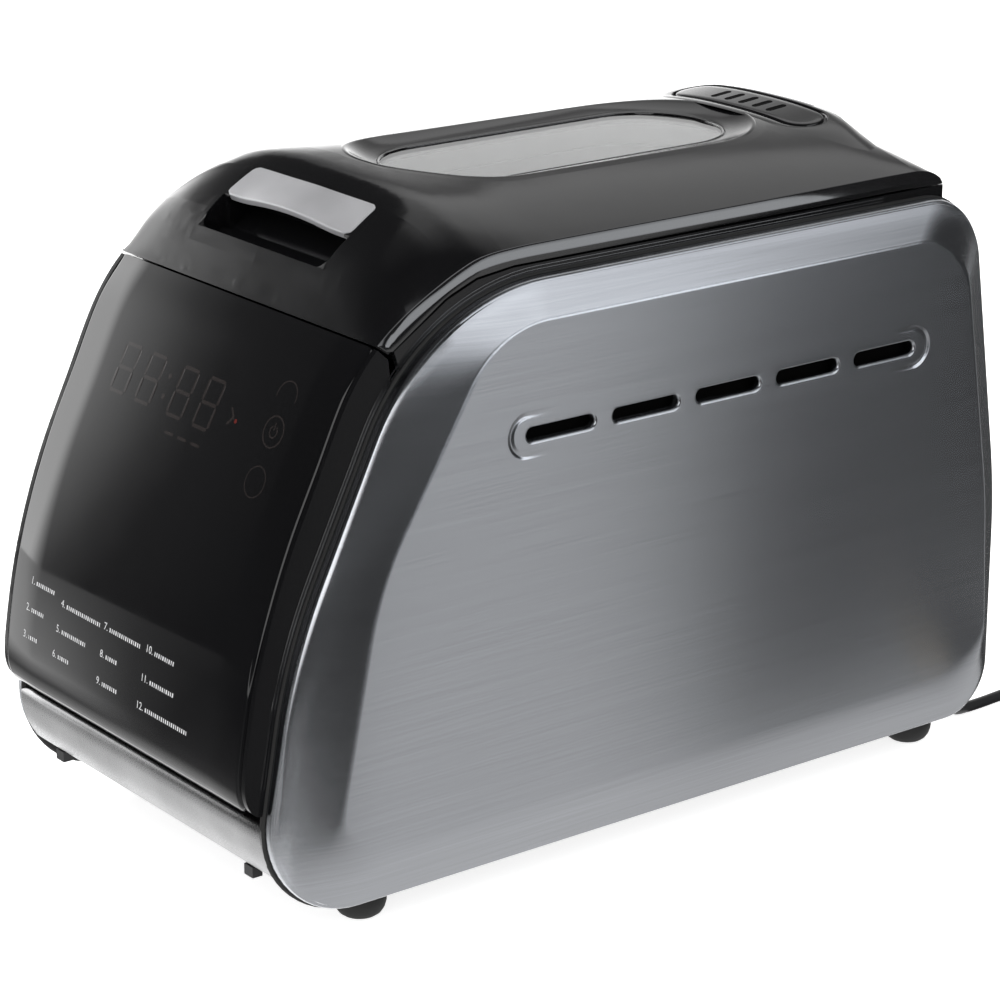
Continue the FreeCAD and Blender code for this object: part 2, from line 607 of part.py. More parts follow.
# ------------------------------------------------------- motor
turned("rotor_shaft", [(0, 18.0), (("shaft_radius", -0.5), 18.0), (("shaft_radius", 0.0), 18.6), (("shaft_radius", 0.0), 122.0), (("shaft_radius", -0.5), 122.6), (0, 122.6)], (0, my, 0))
turned("rotor", [(sr + 0.02, 70.0), (12.0, 70.0), (12.0, 74.0), (21.6, 74.0), (21.6, 104.0), (12.0, 104.0), (12.0, 106.5), (sr + 0.02, 106.5)], (0, my, 0))
b = new_body("motor_core")
s = sketch(b, "core_outline", "XY_Plane", 74.0)
rounded(s, 0, 0, 78.0, 78.0, 12.0)
circle(s, 0, 0, 22.2)
pad(b, s, 30.0)
b.Placement = Placement(Vector(0, my, 0), Rotation())
node(b, "motor_core")
coils = []
for z0, z1 in ((63.8, 73.6), (104.4, 113.6)):
    coils.append(turn_shape([(25.0, z0 + 2), (27.0, z0), (33.5, z0), (35.5, z0 + 2), (35.5, z1 - 2), (33.5, z1), (27.0, z1), (25.0, z1 - 2)], (0, my, 0)))
group("motor_windings", coils)
turned("motor_lower_bracket", [(("shaft_radius", 0.06), 53.0), (36.5, 53.0), (36.5, 50.0), (39.0, 50.0), (39.0, 74.0), (37.0, 74.0), (37.0, 56.0), (10.0, 56.0), (10.0, 63.0),
                               (("shaft_radius", 0.06), 63.0)], (0, my, 0))
turned("motor_upper_bracket", [(("shaft_radius", 0.06), 108.0), (10.0, 108.0), (10.0, 115.0), (37.0, 115.0), (37.0, 104.0), (39.0, 104.0), (39.0, 118.0), (12.0, 118.0),
                               (12.0, 121.0), (("shaft_radius", 0.06), 121.0)], (0, my, 0))
turned("motor_capacitor", [(0, 50.0), (12.0, 50.0), (13.0, 51.0), (13.0, 86.0), (12.0, 87.0), (0, 87.0)], (57.5, my, 0))

# ------------------------------------------------------- oven chamber and what it holds
hx, hy, zf, zt = d("oven_half_x"), d("oven_half_y"), d("oven_floor"), d("oven_top")
w, rc = d("oven_wall"), d("oven_corner")
b = new_body("oven_blank")
s = sketch(b, "oven_outline", "XY_Plane", zf, "sizes.oven_floor")
rounded(s, 0, 0, 2 * hx, 2 * hy, rc)
pad(b, s, zt - zf, "sizes.oven_top - sizes.oven_floor")
s = sketch(b, "oven_flange", "XY_Plane", zt - w, "sizes.oven_top - sizes.oven_wall")
rounded(s, 0, 0, 2 * hx + 14.0, 2 * hy + 14.0, rc + 7.0)
pad(b, s, w, "sizes.oven_wall")
s = sketch(b, "oven_inside", "XY_Plane", zt, "sizes.oven_top")
rounded(s, 0, 0, 2 * (hx - w), 2 * (hy - w), rc - w)
pocket(b, s, zt - zf - w, "sizes.oven_top - sizes.oven_floor - sizes.oven_wall")
b.Placement = Placement(Vector(0, oy, 0), Rotation())
hz, hr = d("heater_level"), d("heater_radius")
tools = [rod_tool("oven_spindle_hole", 20.0, 6.0, (0, oy, zf - 2.0)),
         rod_tool("oven_heater_hole_a", 4.6, 12.0, (-20.0, oy + hy - 6.0, hz), Y),
         rod_tool("oven_heater_hole_b", 4.6, 12.0, (20.0, oy + hy - 6.0, hz), Y),
         rod_tool("oven_sensor_hole", 5.0, 12.0, (50.0, oy - hy - 6.0, 110.0), Y)]
cut("oven_chamber", b, tools)

turned("pan_seat", [(36.0, 63.0), (47.0, 63.0), (47.0, 74.0), (44.0, 74.0), (42.8, 72.5), (42.8, 66.0), (36.0, 66.0)], (0, oy, 0))
clips = []
for sx in (-1, 1):
    leaf = [(66.0, 63.0), (76.0, 63.0), (76.0, 64.0), (67.0, 64.0), (67.0, 97.0), (65.2, 99.6), (63.6, 97.0), (64.4, 96.6), (65.4, 97.8), (66.0, 96.6)]
    wire = Part.makePolygon([Vector(sx * a, oy - 8.0, c) for a, c in leaf] + [Vector(sx * leaf[0][0], oy - 8.0, leaf[0][1])])
    clips.append(Part.Face(wire).extrude(Vector(0, 16.0, 0)))
group("pan_clips", clips)

# heating element: open loop round the pan, ends out through the rear wall
hxl, yf, yr = 72.0, oy - 95.0, oy + 92.0
rb, re = 15.0, 8.0


def arc(c, r, a0, a1, z):
    p = [Vector(c[0] + r * math.cos(math.radians(a)), c[1] + r * math.sin(math.radians(a)), z) for a in (a0, 0.5 * (a0 + a1), a1)]
    return Part.Arc(*p).toShape()


def seg(a, c):
    return Part.LineSegment(a, c).toShape()


path = [seg(Vector(20, yr + 30, hz), Vector(20, yr + re, hz)),
        arc((20 + re, yr + re), re, 180, 270, hz),
        seg(Vector(20 + re, yr, hz), Vector(hxl - rb, yr, hz)),
        arc((hxl - rb, yr - rb), rb, 90, 0, hz),
        seg(Vector(hxl, yr - rb, hz), Vector(hxl, yf + rb, hz)),
        arc((hxl - rb, yf + rb), rb, 0, -90, hz),
        seg(Vector(hxl - rb, yf, hz), Vector(-hxl + rb, yf, hz)),
        arc((-hxl + rb, yf + rb), rb, 270, 180, hz),
        seg(Vector(-hxl, yf + rb, hz), Vector(-hxl, yr - rb, hz)),
        arc((-hxl + rb, yr - rb), rb, 180, 90, hz),
        seg(Vector(-hxl + rb, yr, hz), Vector(-20 - re, yr, hz)),
        arc((-20 - re, yr + re), re, 270, 360, hz),
        seg(Vector(-20, yr + re, hz), Vector(-20, yr + 30, hz))]
spine = Part.Wire(path)
ring = Part.Wire([Part.Circle(Vector(20, yr + 30, hz), Y, hr).toShape()])
tube = spine.makePipeShell([ring], True, False)
print("heater", tube.isValid(), tube.Volume, spine.Length * math.pi * hr * hr)
feature("heating_element", tube)
ins = []
for x in (-20.0, 20.0):
    e = turn_shape([(hr + 0.1, 0), (7.5, 0), (7.5, 3.0), (4.5, 3.0), (4.5, 7.4), (hr + 0.1, 7.4)])
    e.Placement = Placement(Vector(x, oy + hy + 3.0, hz), Rotation(X, 90))
    ins.append(e)
group("heater_insulators", ins)
saddles = []
for sx in (-1, 1):
    for y in (oy - 50.0, oy + 50.0):
        p = box(-5.6, 5.6, -0.8, 0.8, 63.0, hz + 5.6).fuse(box(-5.6, 5.6, -0.8, 7.0, 63.0, 64.4)).cut(rod(hr + 0.1, 6.0, (0, -3.0, hz), Y))
        p.translate(Vector(sx * hxl, y, 0))
        saddles.append(p)
group("heater_clips", saddles)
probe = turn_shape([(0, 0), (4.2, 0), (4.2, 14.0), (4.9, 14.0), (4.9, 19.0), (3.0, 21.0), (0, 21.6)])
cap = turn_shape([(4.3, 12.0 - 2.0), (7.5, 10.0), (7.5, 11.9), (4.3, 11.9)])
probe = probe.fuse(cap)
probe.Placement = Placement(Vector(50.0, oy - hy - 12.0, 110.0), Rotation(X, -90))
feature("temperature_sensor", probe)
fuse = rod(3.0, 18.0, (-59.0, oy - hy - 4.2, 110.0), X).fuse(box(-56.0, -44.0, oy - hy - 8.0, oy - hy, 105.6, 114.4))
fuse = fuse.fuse(rod(0.6, 34.0, (-67.0, oy - hy - 4.2, 110.0), X))
feature("thermal_fuse", fuse)

# ------------------------------------------------------- pan, its shaft, paddle and bail
pbz, ptz, pw = d("pan_bottom"), d("pan_top"), d("pan_wall")
pxx, pyy = d("pan_half_x"), d("pan_half_y")


def pan_blank(t, z0, z1, fx=0.0):
    lo = stadium(pxx - 3.0 - t, oy - pyy + 3.0 + t, oy + pyy - 3.0 - t, z0, None, 24.0 - t)
    hi = stadium(pxx - t, oy - pyy + t, oy + pyy - t, z1, None, 26.0 - t)
    return Part.makeLoft([lo, hi], True, True)


pan = pan_blank(0.0, pbz, ptz)
bead = stadium(pxx + 3.4, oy - pyy - 3.4, oy + pyy + 3.4, ptz - 2.4, ptz, 29.4)
pan = pan.fuse(bead)
pv = d("bail_pivot")
for sy in (-1, 1):
    pan = pan.fuse(rod(7.0, 7.5, (0, oy + sy * (pyy - 3.5), pv), Vector(0, sy, 0)))
pan = pan.cut(pan_blank(pw, pbz + pw, ptz + 0.001))
pan = pan.cut(stadium(pxx - pw, oy - pyy + pw, oy + pyy - pw, ptz - 0.01, ptz + 2.0, 24.5))
for sy in (-1, 1):
    pan = pan.cut(rod(d("bail_wire") + 0.06, 6.0, (0, oy + sy * (pyy + 0.5), pv), Vector(0, sy, 0)))
pan = pan.cut(rod(12.1, 6.0, (0, oy, pbz - 2.0)))
feature("bread_pan", pan)
turned("pan_base_ring", [(39.0, 66.1), (42.0, 66.1), (42.0, 80.0), (34.0, 80.0), (34.0, 78.4), (39.0, 78.4)], (0, oy, 0))
turned("pan_bushing", [(("shaft_radius", 0.05), 73.0), (12.0, 73.0), (12.0, 81.5), (15.5, 81.5), (15.5, 84.0), (10.0, 90.5), (8.0, 92.0), (("shaft_radius", 0.05), 92.0)], (0, oy, 0))
shaft = turn_shape([(0, 68.6), (sr, 68.6), (sr, 110.2), (sr - 0.8, 111.0), (0, 111.0)]).cut(box(3.2, 6.0, -6, 6, 92.4, 112))
shaft.translate(Vector(0, oy, 0))
feature("pan_shaft", shaft)
wing = rod(9.0, 4.0, (0, 0, 68.6)).fuse(box(-18.0, 18.0, -3.5, 3.5, 68.6, 72.6)).cut(rod(sr + 0.02, 10.0, (0, 0, 65.0)))
wing.translate(Vector(0, oy, 0))
feature("pan_coupling", wing)
blade = Part.Face(Part.makePolygon([Vector(a, -2.0, c) for a, c in
        [(6.0, 94.0), (37.0, 94.0), (41.0, 98.0), (39.0, 108.0), (32.0, 118.0), (22.0, 123.0), (12.0, 121.0), (6.0, 114.0), (6.0, 94.0)]])).extrude(Vector(0, 4.0, 0))
hub = turn_shape([(0, 93.0), (10.0, 93.0), (9.0, 110.0), (7.4, 113.6), (0, 113.6)])
bore = rod(sr + rg, 20.0, (0, 0, 92.0)).cut(box(3.25, 8.0, -6, 6, 90.0, 114.0))
paddle = hub.fuse(blade).cut(bore)
paddle.translate(Vector(0, oy, 0))
feature("kneading_paddle", paddle)

ba, br, bt = d("bail_arm"), d("bail_wire"), d("bail_angle")


def bail_point(y, r):
    return Vector(r * math.cos(math.radians(bt)), oy + y, pv + r * math.sin(math.radians(bt)))


def bent(pts, radii):
    """Wire of straight runs joined by tangent arcs."""
    edges, last = [], pts[0]
    for i in range(1, len(pts) - 1):
        a = (pts[i - 1] - pts[i]).normalize()
        c = (pts[i + 1] - pts[i]).normalize()
        half = math.acos(max(-1.0, min(1.0, a.dot(c)))) / 2.0
        t = radii[i - 1] / math.tan(half)
        m = (a + c).normalize()
        p0, p1 = pts[i] + a * t, pts[i] + c * t
        mid = pts[i] + m * (radii[i - 1] / math.sin(half) - radii[i - 1])
        if (p0 - last).Length > 1e-6:
            edges.append(Part.LineSegment(last, p0).toShape())
        edges.append(Part.Arc(p0, mid, p1).toShape())
        last = p1
    edges.append(Part.LineSegment(last, pts[-1]).toShape())
    return Part.Wire(edges)


ends = pyy + 9.5
grip = bent([bail_point(-(pyy + 1.0), 0), bail_point(-ends, 0), bail_point(-ends, ba), bail_point(ends, ba), bail_point(ends, 0), bail_point(pyy + 1.0, 0)],
            [4.0, 14.0, 14.0, 4.0])
wire = grip.makePipeShell([Part.Wire([Part.Circle(bail_point(-(pyy + 1.0), 0), Y, br).toShape()])], True, False)
print("bail", wire.isValid(), wire.Volume, grip.Length * math.pi * br * br)
feature("bail_handle", wire)

# ------------------------------------------------------- boards
fy, fz = FRONT[3][0] - FRONT[1][0], FRONT[3][1] - FRONT[1][1]
L = math.hypot(fy, fz)
ty, tz = -fy / L, -fz / L
inward = Vector(0, tz, -ty)
tilt = math.degrees(math.atan2(tz, ty))
mid = Vector(0, 0.5 * (FRONT[1][0] + FRONT[3][0]), 0.5 * (FRONT[1][1] + FRONT[3][1]))


def on_front(lx, ly, lz, up, depth):
    """Block of size lx (across), ly (along the slope), lz (depth), its near face at depth behind the front."""
    q = Part.makeBox(lx, ly, lz, Vector(-lx / 2.0, -ly / 2.0, 0))
    q.Placement = Placement(mid + Vector(0, ty, tz) * up + inward * depth, Rotation(X, tilt + 180.0).multiply(Rotation(X, 0)))
    return q


feature("display_board", on_front(150.0, 70.0, 1.6, 0.0, 14.0))
feature("display_module", on_front(62.0, 26.0, 5.0, 0.0, 9.0))
pbs = box(-70.0, 70.0, -152.0, -92.0, 132.0, 133.6)
feature("power_board", pbs)
parts = [box(-60, -38, -146, -130, 133.6, 150.0), box(-30, -11, -146, -131, 133.6, 149.0), box(20, 52, -144, -118, 133.6, 160.0),
         rod(6.0, 22.0, (-48.0, -110.0, 133.6)), rod(5.0, 14.0, (-20.0, -108.0, 133.6)), box(0, 14, -112, -104, 133.6, 139.0), box(30, 58, -106, -98, 133.6, 142.0)]
group("power_board_parts", parts)
stand = []
for sx in (-1, 1):
    for y in (-147.0, -97.0):
        stand.append(rod(4.0, 132.0 - ct, (sx * 64.0, y, ct)))
group("board_posts", stand)

# ------------------------------------------------------- top frame
TOP = [(-122.6, 234.4), (-97.6, 250.4), (-83.6, 255.9), (-66.0, d("frame_top")), (161.0, d("frame_top"))]
bh = d("body_half")
solid = yz_prism(TOP + [(161.0, 247.2), (-60.0, 247.2), (-86.0, 240.0), (-118.6, 222.0)], bh)
lower = yz_prism([(y + 0.9, z - 2.4) for y, z in TOP[:-1]] + [(158.6, TOP[-1][1] - 2.4), (158.6, 240.0), (-50.0, 240.0), (-80.0, 230.0), (-112.0, 214.0), (-120.0, 224.0)], bh - 2.4)
mouth = stadium(hx + 2.4, oy - hy - 2.4, oy + hy + 2.4, 247.0, 259.0, rc + 2.4)
frame = solid.cut(lower)
frame = frame.fuse(mouth.common(solid))
frame = frame.cut(stadium(hx - 0.6, oy - hy + 0.6, oy + hy - 0.6, 230.0, 270.0, rc - 0.6))
hyy, hzz, pr = d("hinge_y"), d("hinge_z"), d("hinge_pin")
for sx in (-1, 1):
    for x0, x1 in ((47.0, 52.0), (60.0, 65.0)):
        xa, xb = (x0, x1) if sx > 0 else (-x1, -x0)
        ear = rod(4.8, xb - xa, (xa, hyy, hzz), X).fuse(box(xa, xb, 157.0, hyy, hzz - 4.8, hzz + 3.0))
        frame = frame.fuse(ear)
    xa, xb = (51.9, 60.1) if sx > 0 else (-60.1, -51.9)
    frame = frame.cut(box(xa, xb, 155.5, 170.0, 246.0, 262.0))
    frame = frame.cut(rod(pr + 0.02, 40.0, (36.0 if sx > 0 else -76.0, hyy, hzz), X))
feature("top_frame", frame.removeSplitter())
pins = [rod(pr, 18.0, (47.0 if sx > 0 else -65.0, hyy, hzz), X) for sx in (-1, 1)]
group("hinge_pins", pins)

# ------------------------------------------------------- lid
CREST = [(-150.0, 215.6), (-140.0, 227.8), (-130.4, 237.2), (-117.2, 247.1), (-100.0, 256.8), (-90.0, 261.4), (-82.5, 264.0), (-72.0, 265.4), (-57.0, 265.9), (0.0, 265.8),
         (62.0, 265.6), (123.0, 265.7), (146.0, 265.5), (154.0, 264.2), (158.0, 262.4), (161.0, 260.2), (168.0, 254.0)]
RISE = [(-150.0, 0.2), (-134.0, 0.2), (-130.4, 0.6), (-126.0, 7.6), (-121.5, 12.6), (-115.0, 15.0), (-109.0, 15.8), (-100.0, 16.8), (-95.0, 17.2), (-82.0, 18.0), (-69.4, 17.8), (0.0, 17.3), (62.0, 16.8),
        (110.0, 15.6), (132.0, 14.6), (146.0, 11.8), (154.0, 8.0), (158.0, 6.0), (161.0, 4.0), (168.0, 2.0)]
POWER = [(-150.0, 14.0), (-131.0, 14.0), (-121.0, 12.0), (-103.0, 8.0), (-88.0, 4.7), (-70.0, 3.2), (-50.0, 2.6), (0.0, 2.4), (168.0, 2.4)]
LW = d("lid_half")


def lid_height(x, y):
    c, k, p = smooth(CREST, y), smooth(RISE, y), smooth(POWER, y)
    return c + k * (1.0 - abs(x / LW) ** p)


us = [math.sin(0.5 * math.pi * (i / 16.0)) for i in range(-16, 17)]
xs = [LW * u for u in us]
xs = [-LW - 2.5] + xs + [LW + 2.5]
ys = [-146.0, -140.0, -136.0, -133.0, -130.5, -128.0, -125.5, -123.0, -120.0, -116.0, -112.0, -107.0, -101.0, -95.0, -89.0, -83.0, -77.0, -71.0, -63.0, -54.0, -42.0, -25.0, 0.0,
      25.0, 50.0, 75.0, 95.0, 110.0, 122.0, 132.0, 140.0, 146.0, 150.0, 154.0, 157.0, 160.0, 163.0, 166.0]


def lid_mass(dy, dz):
    """Everything under the lid's crowned surface, the surface moved by dy and dz."""
    grid = [[Vector(x, y + dy, lid_height(x, y) + dz) for y in ys] for x in xs]
    surf = Part.BSplineSurface()
    surf.interpolate(grid)
    u0, u1, v0, v1 = surf.bounds()
    mid_row = grid[len(xs) // 2]
    um = surf.parameter(mid_row[0])[0]
    vs = [v0] + [surf.parameter(mid_row[ys.index(c)])[1] for c in (-116.0, -95.0, -71.0, -25.0, 50.0, 110.0, 146.0)] + [v1]
    blocks = []
    for ua, ub in ((u0, um), (um, u1)):
        for va, vb in zip(vs, vs[1:]):
            patch = surf.copy()
            patch.segment(ua, ub, va, vb)
            blocks.append(patch.toShape().extrude(Vector(0, 0, -75.0)))
    return blocks[0].fuse(blocks[1:])


lp, lw = d("lid_parting"), d("lid_wall")
PART = [(-133.1, 239.4), (-124.6, 233.5), (-98.0, 251.2), (-84.0, 256.6), (-66.0, lp), (160.8, lp)]
outline = PART + [(158.8, 270.0), (150.0, 300.0), (-145.0, 300.0)]
under = [(-120.6, 228.0), (-60.0, 228.0), (158.3, 228.0), (158.3, lp), (156.3, 270.0), (147.5, 300.0), (-135.0, 300.0), (-131.6, 242.0), (-125.0, 237.4)]
blank = lid_mass(0.0, 0.0)
outer = blank.common(yz_prism(outline, LW))
inner = lid_mass(1.4, -lw).common(yz_prism(under, LW - lw))
shell = outer.cut(inner)
gh, gf, gr, gz = d("glass_half"), d("glass_front"), d("glass_rear"), d("glass_low")
# window tub: walls down to the ledge that carries the glass
tub = stadium(gh + 8.5, gf - 8.5, gr + 8.5, 268.0, 292.0, gh + 3.0).common(outer)
shell = shell.fuse(tub)
recess = Part.makeLoft([stadium(gh + 0.8, gf - 0.8, gr + 0.8, gz - 0.6, None, gh - 1.5), stadium(gh + 1.2, gf - 1.2, gr + 1.2, gz + 1.6, None, gh - 1.0)], True, True)
mouth2 = Part.makeLoft([stadium(gh + 1.2, gf - 1.2, gr + 1.2, gz + 1.6, None, gh - 1.0), stadium(gh + 7.5, gf - 7.5, gr + 7.5, 287.0, None, gh + 4.0)], True, True)
shell = shell.cut(recess).cut(mouth2).cut(stadium(gh - 3.5, gf + 3.5, gr - 3.5, 255.0, 280.0, gh - 5.0))
# finger recess under the handle plate
pocket_block = box(-47.0, 47.0, -125.0, -92.0, 244.0, 290.0).common(outer).cut(yz_prism([(-140.0, 200.0), (-60.0, 200.0), (-60.0, 262.0), (-84.0, 257.0), (-98.0, 251.6), (-124.0, 234.0)], 60.0))
shell = shell.fuse(pocket_block)
scoop = yz_prism([(-121.8, 300.0), (-121.8, 256.0), (-117.0, 251.8), (-108.0, 253.6), (-97.5, 261.0), (-97.5, 300.0)], 44.2).cut(box(40.6, 50, -109.4, -90, 200, 310)).cut(box(-50, -40.6, -109.4, -90, 200, 310))
shell = shell.cut(scoop)


def handle_section(y, zmid, drop, hw, t):
    a, m, c = Vector(-hw, y, zmid - drop), Vector(0, y, zmid), Vector(hw, y, zmid - drop)
    e, n, f = Vector(hw, y, zmid - drop - t), Vector(0, y, zmid - t), Vector(-hw, y, zmid - drop - t)
    return Part.Wire([Part.Arc(a, m, c).toShape(), Part.LineSegment(c, e).toShape(), Part.Arc(e, n, f).toShape(), Part.LineSegment(f, a).toShape()])


plate = Part.makeLoft([handle_section(-109.4, 269.8, 3.6, 42.8, 3.4), handle_section(-94.3, 277.2, 3.9, 41.4, 3.4)], True, True)
shell = shell.cut(plate)
# seat and passage of the vent grille
VX, VY, VC = 43.4, 9.6, 132.0


def across(hxx, hyv, z0, z1):
    q = stadium(hyv, -hxx, hxx, z0, z1)
    q.rotate(Vector(0, 0, 0), Z, 90)
    q.translate(Vector(0, VC, 0))
    return q


down = lid_mass(0.0, -1.3)
shell = shell.cut(across(VX + 1.6, VY + 1.6, 255.0, 300.0).cut(down))
shell = shell.cut(across(VX - 6.0, VY - 4.0, 255.0, 300.0))
for sx in (-1, 1):
    xa = 52.4 if sx > 0 else -59.6
    arm = rod(4.8, 7.2, (xa, hyy, hzz), X)
    neck = Part.Face(Part.makePolygon([Vector(xa, a, c) for a, c in [(156.6, 259.4), (160.2, 258.7), (162.2, 250.0), (168.4, 252.4), (165.0, 259.6), (159.4, 262.6), (156.6, 262.6), (156.6, 259.4)]])).extrude(Vector(7.2, 0, 0))
    neck = neck.cut(box(-80, 80, 150, 161.2, 240, lp))
    shell = shell.fuse(arm.fuse(neck))
    shell = shell.cut(rod(pr + 0.06, 30.0, (xa - 10.0, hyy, hzz), X))
feature("lid_shell", shell)
feature("lid_handle", plate)
vent = across(VX, VY, 255.0, 300.0).common(lid_mass(0.0, 0.7)).cut(down)
for i in range(5):
    x = -18.0 + 9.0 * i
    vent = vent.cut(box(x - 1.1, x + 1.1, VC - 4.8, VC + 4.8, 250.0, 300.0))
feature("vent_grille", vent)
feature("window_glass", stadium(gh, gf, gr, gz, gz + d("glass_wall"), gh - 2.3))
gasket = stadium(gh, gf, gr, gz - 0.6, gz, gh - 2.3).cut(stadium(gh - 3.3, gf + 3.3, gr - 3.3, gz - 2.0, gz + 1.0, gh - 5.0))
feature("window_gasket", gasket)
COVER = [(-121.2, 235.9), (-98.0, 251.4), (-84.0, 256.9), (-66.0, lp + 0.3), (157.6, lp + 0.3)]
cover = yz_prism(COVER + [(157.6, lp + 2.3), (-66.4, lp + 2.3), (-84.8, 258.8), (-99.0, 253.2), (-121.6, 238.3)], LW - lw - 0.3)
cover = cover.cut(stadium(83.0, -79.0, 148.0, 250.0, 270.0, 20.0))
cover = cover.cut(pocket_block).cut(box(-62, -50, 150, 165, 240, 280)).cut(box(50, 62, 150, 165, 240, 280))
feature("lid_inner_cover", cover)
liner = stadium(82.8, -78.8, 147.8, lp + 1.0, lp + 2.0, 19.8).fuse(stadium(gh - 2.4, gf + 2.4, gr - 2.4, lp + 1.0, 268.0, gh - 4.0))
liner = liner.cut(stadium(gh - 3.4, gf + 3.4, gr - 3.4, 250.0, 275.0, gh - 5.0))
feature("lid_liner", liner)

# ------------------------------------------------------- mains lead
gl = 20.0
gland = turn_shape([(0.0, -6.0), (7.0, -6.0), (7.0, -3.2), (5.9, -3.2), (5.9, 0.3), (7.0, 0.3), (7.0, 2.4), (5.4, 3.4), (5.2, 6.4), (4.7, 7.2), (4.6, 10.4), (4.2, 11.2), (4.1, 14.4), (3.8, 15.2), (3.6, gl), (0.0, gl)])
gland.Placement = Placement(GLAND, Rotation(Z, GDIR))
feature("cord_gland", gland)
exit_at = GLAND + GDIR * gl
cr, cm = d("cord_radius"), d("coil_mid")
FLOOR = cr + 0.1
COIL = Vector(104.0, 304.0, 0.0)
ROUTE = [exit_at,
         exit_at + GDIR * 5.6,
         Vector(71.8, 207.6, FLOOR + 0.5),
         Vector(71.0, 219.6, FLOOR),
         Vector(70.0, 233.0, FLOOR),
         Vector(69.8, 249.0, FLOOR),
         Vector(71.0, 266.0, FLOOR),
         Vector(73.8, 285.6, FLOOR),
         Vector(76.0, 304.0, FLOOR)]


def cord_wire(pts, name):
    radii = []
    for i in range(1, len(pts) - 1):
        a, c = pts[i] - pts[i - 1], pts[i + 1] - pts[i]
        turn = a.getAngle(c)
        radii.append(0.45 * min(a.Length, c.Length) / math.tan(turn / 2.0))
    print(name, "bend radii", [round(r, 1) for r in radii], "runs", [round((pts[i + 1] - pts[i]).Length, 1) for i in range(len(pts) - 1)])
    return bent(pts, radii)


def cord_solid(pts, name):
    w = cord_wire(pts, name)
    tang = pts[1] - pts[0]
    c = Part.Wire([Part.Circle(pts[0], tang, cr).toShape()])
    t = w.makePipeShell([c], True, False)
    print(name, t.isValid(), "volume", round(t.Volume, 1), "section times length", round(w.Length * math.pi * cr * cr, 1), "length", round(w.Length, 1))
    return t


feature("power_cord", cord_solid(ROUTE, "cord"))
coil = turn_shape([(cm - 7.7, 1.6), (cm - 6.2, 0.1), (cm + 6.2, 0.1), (cm + 7.7, 1.6), (cm + 7.7, 6.0), (cm + 5.2, 9.8), (cm - 5.2, 9.8), (cm - 7.7, 6.0)], tuple(COIL))
feature("power_cord_coil", coil)
PLUG = Vector(147.0, 268.0, 0.0)
TAIL = [Vector(132.0, 304.0, FLOOR + 0.6),
        Vector(133.5, 294.5, FLOOR + 2.6),
        Vector(137.5, 285.5, 8.4),
        Vector(143.0, 277.6, 11.2),
        Vector(149.4, 270.6, 11.6)]
TDIR = (TAIL[4] - TAIL[3])
TDIR.normalize()
feature("power_cord_tail", cord_solid(TAIL, "tail"))
# two-pin mains plug lying beside the coil
flat = Vector(TDIR.x, TDIR.y, 0)
flat.normalize()
seat_at = TAIL[4]
sect = []
for dist, w2, h2 in ((0.0, 3.4, 3.4), (10.0, 4.6, 4.4), (20.0, 7.0, 6.2), (28.0, 15.5, 9.6), (40.0, 17.6, 10.8), (46.0, 17.6, 10.8)):
    q = []
    n = 28
    for i in range(n):
        a = 2 * math.pi * i / n
        ca, sa = math.cos(a), math.sin(a)
        q.append(Vector(w2 * math.copysign(abs(ca) ** 0.8, ca), h2 * math.copysign(abs(sa) ** 0.8, sa), dist))
    c = Part.BSplineCurve()
    c.interpolate(q, True)
    sect.append(Part.Wire([c.toShape()]))
body = Part.makeLoft(sect, True, False)
spot = Placement(seat_at, Rotation(Vector(-flat.y, flat.x, 0), Z, flat, "ZYX"))
body.Placement = spot
print("plug", body.isValid(), body.BoundBox.ZMin, body.BoundBox)
feature("plug_body", body)
prongs = []
for sx in (-1, 1):
    q = turn_shape([(0, 46.0), (2.4, 46.0), (2.4, 63.0), (1.6, 65.0), (0, 65.2)], (sx * 9.5, 0, 0))
    q.Placement = spot.multiply(q.Placement)
    prongs.append(q)
group("plug_pins", prongs)

# ------------------------------------------------------- screws under the base
for sx in (-1, 1):
    for y in (-138.0, 118.0):
        q = screw(4.0, 2.0, 1.9, 8.0)
        q.Placement = Placement(Vector(sx * 62.0, y, d("base_level")), Rotation(X, 180))
        heads.append(q)
group("housing_screws", heads)

# ------------------------------------------------------- check and write
doc.recompute()
bad = []
for obj in doc.Objects:
    if any(f in obj.State for f in ("Invalid", "Error")):
        bad.append(obj.Name)
for label, obj in NODES:
    if obj.Shape.isNull() or not obj.Shape.isValid() or not obj.Shape.Solids:
        bad.append(label + " shape")
if bad:
    raise SystemExit("failed: " + ", ".join(bad))
os.makedirs("parts", exist_ok=True)
total = Part.makeCompound([o.Shape for l, o in NODES])
core = Part.makeCompound([o.Shape for l, o in NODES if not (l.startswith("power_cord") or l.startswith("plug") or l == "cord_gland")])
print("nodes", len(NODES), "box", total.BoundBox, "without the lead", core.BoundBox)
for label, obj in NODES:
    obj.Shape.exportStep("parts/%s.step" % label)
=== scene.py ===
import math

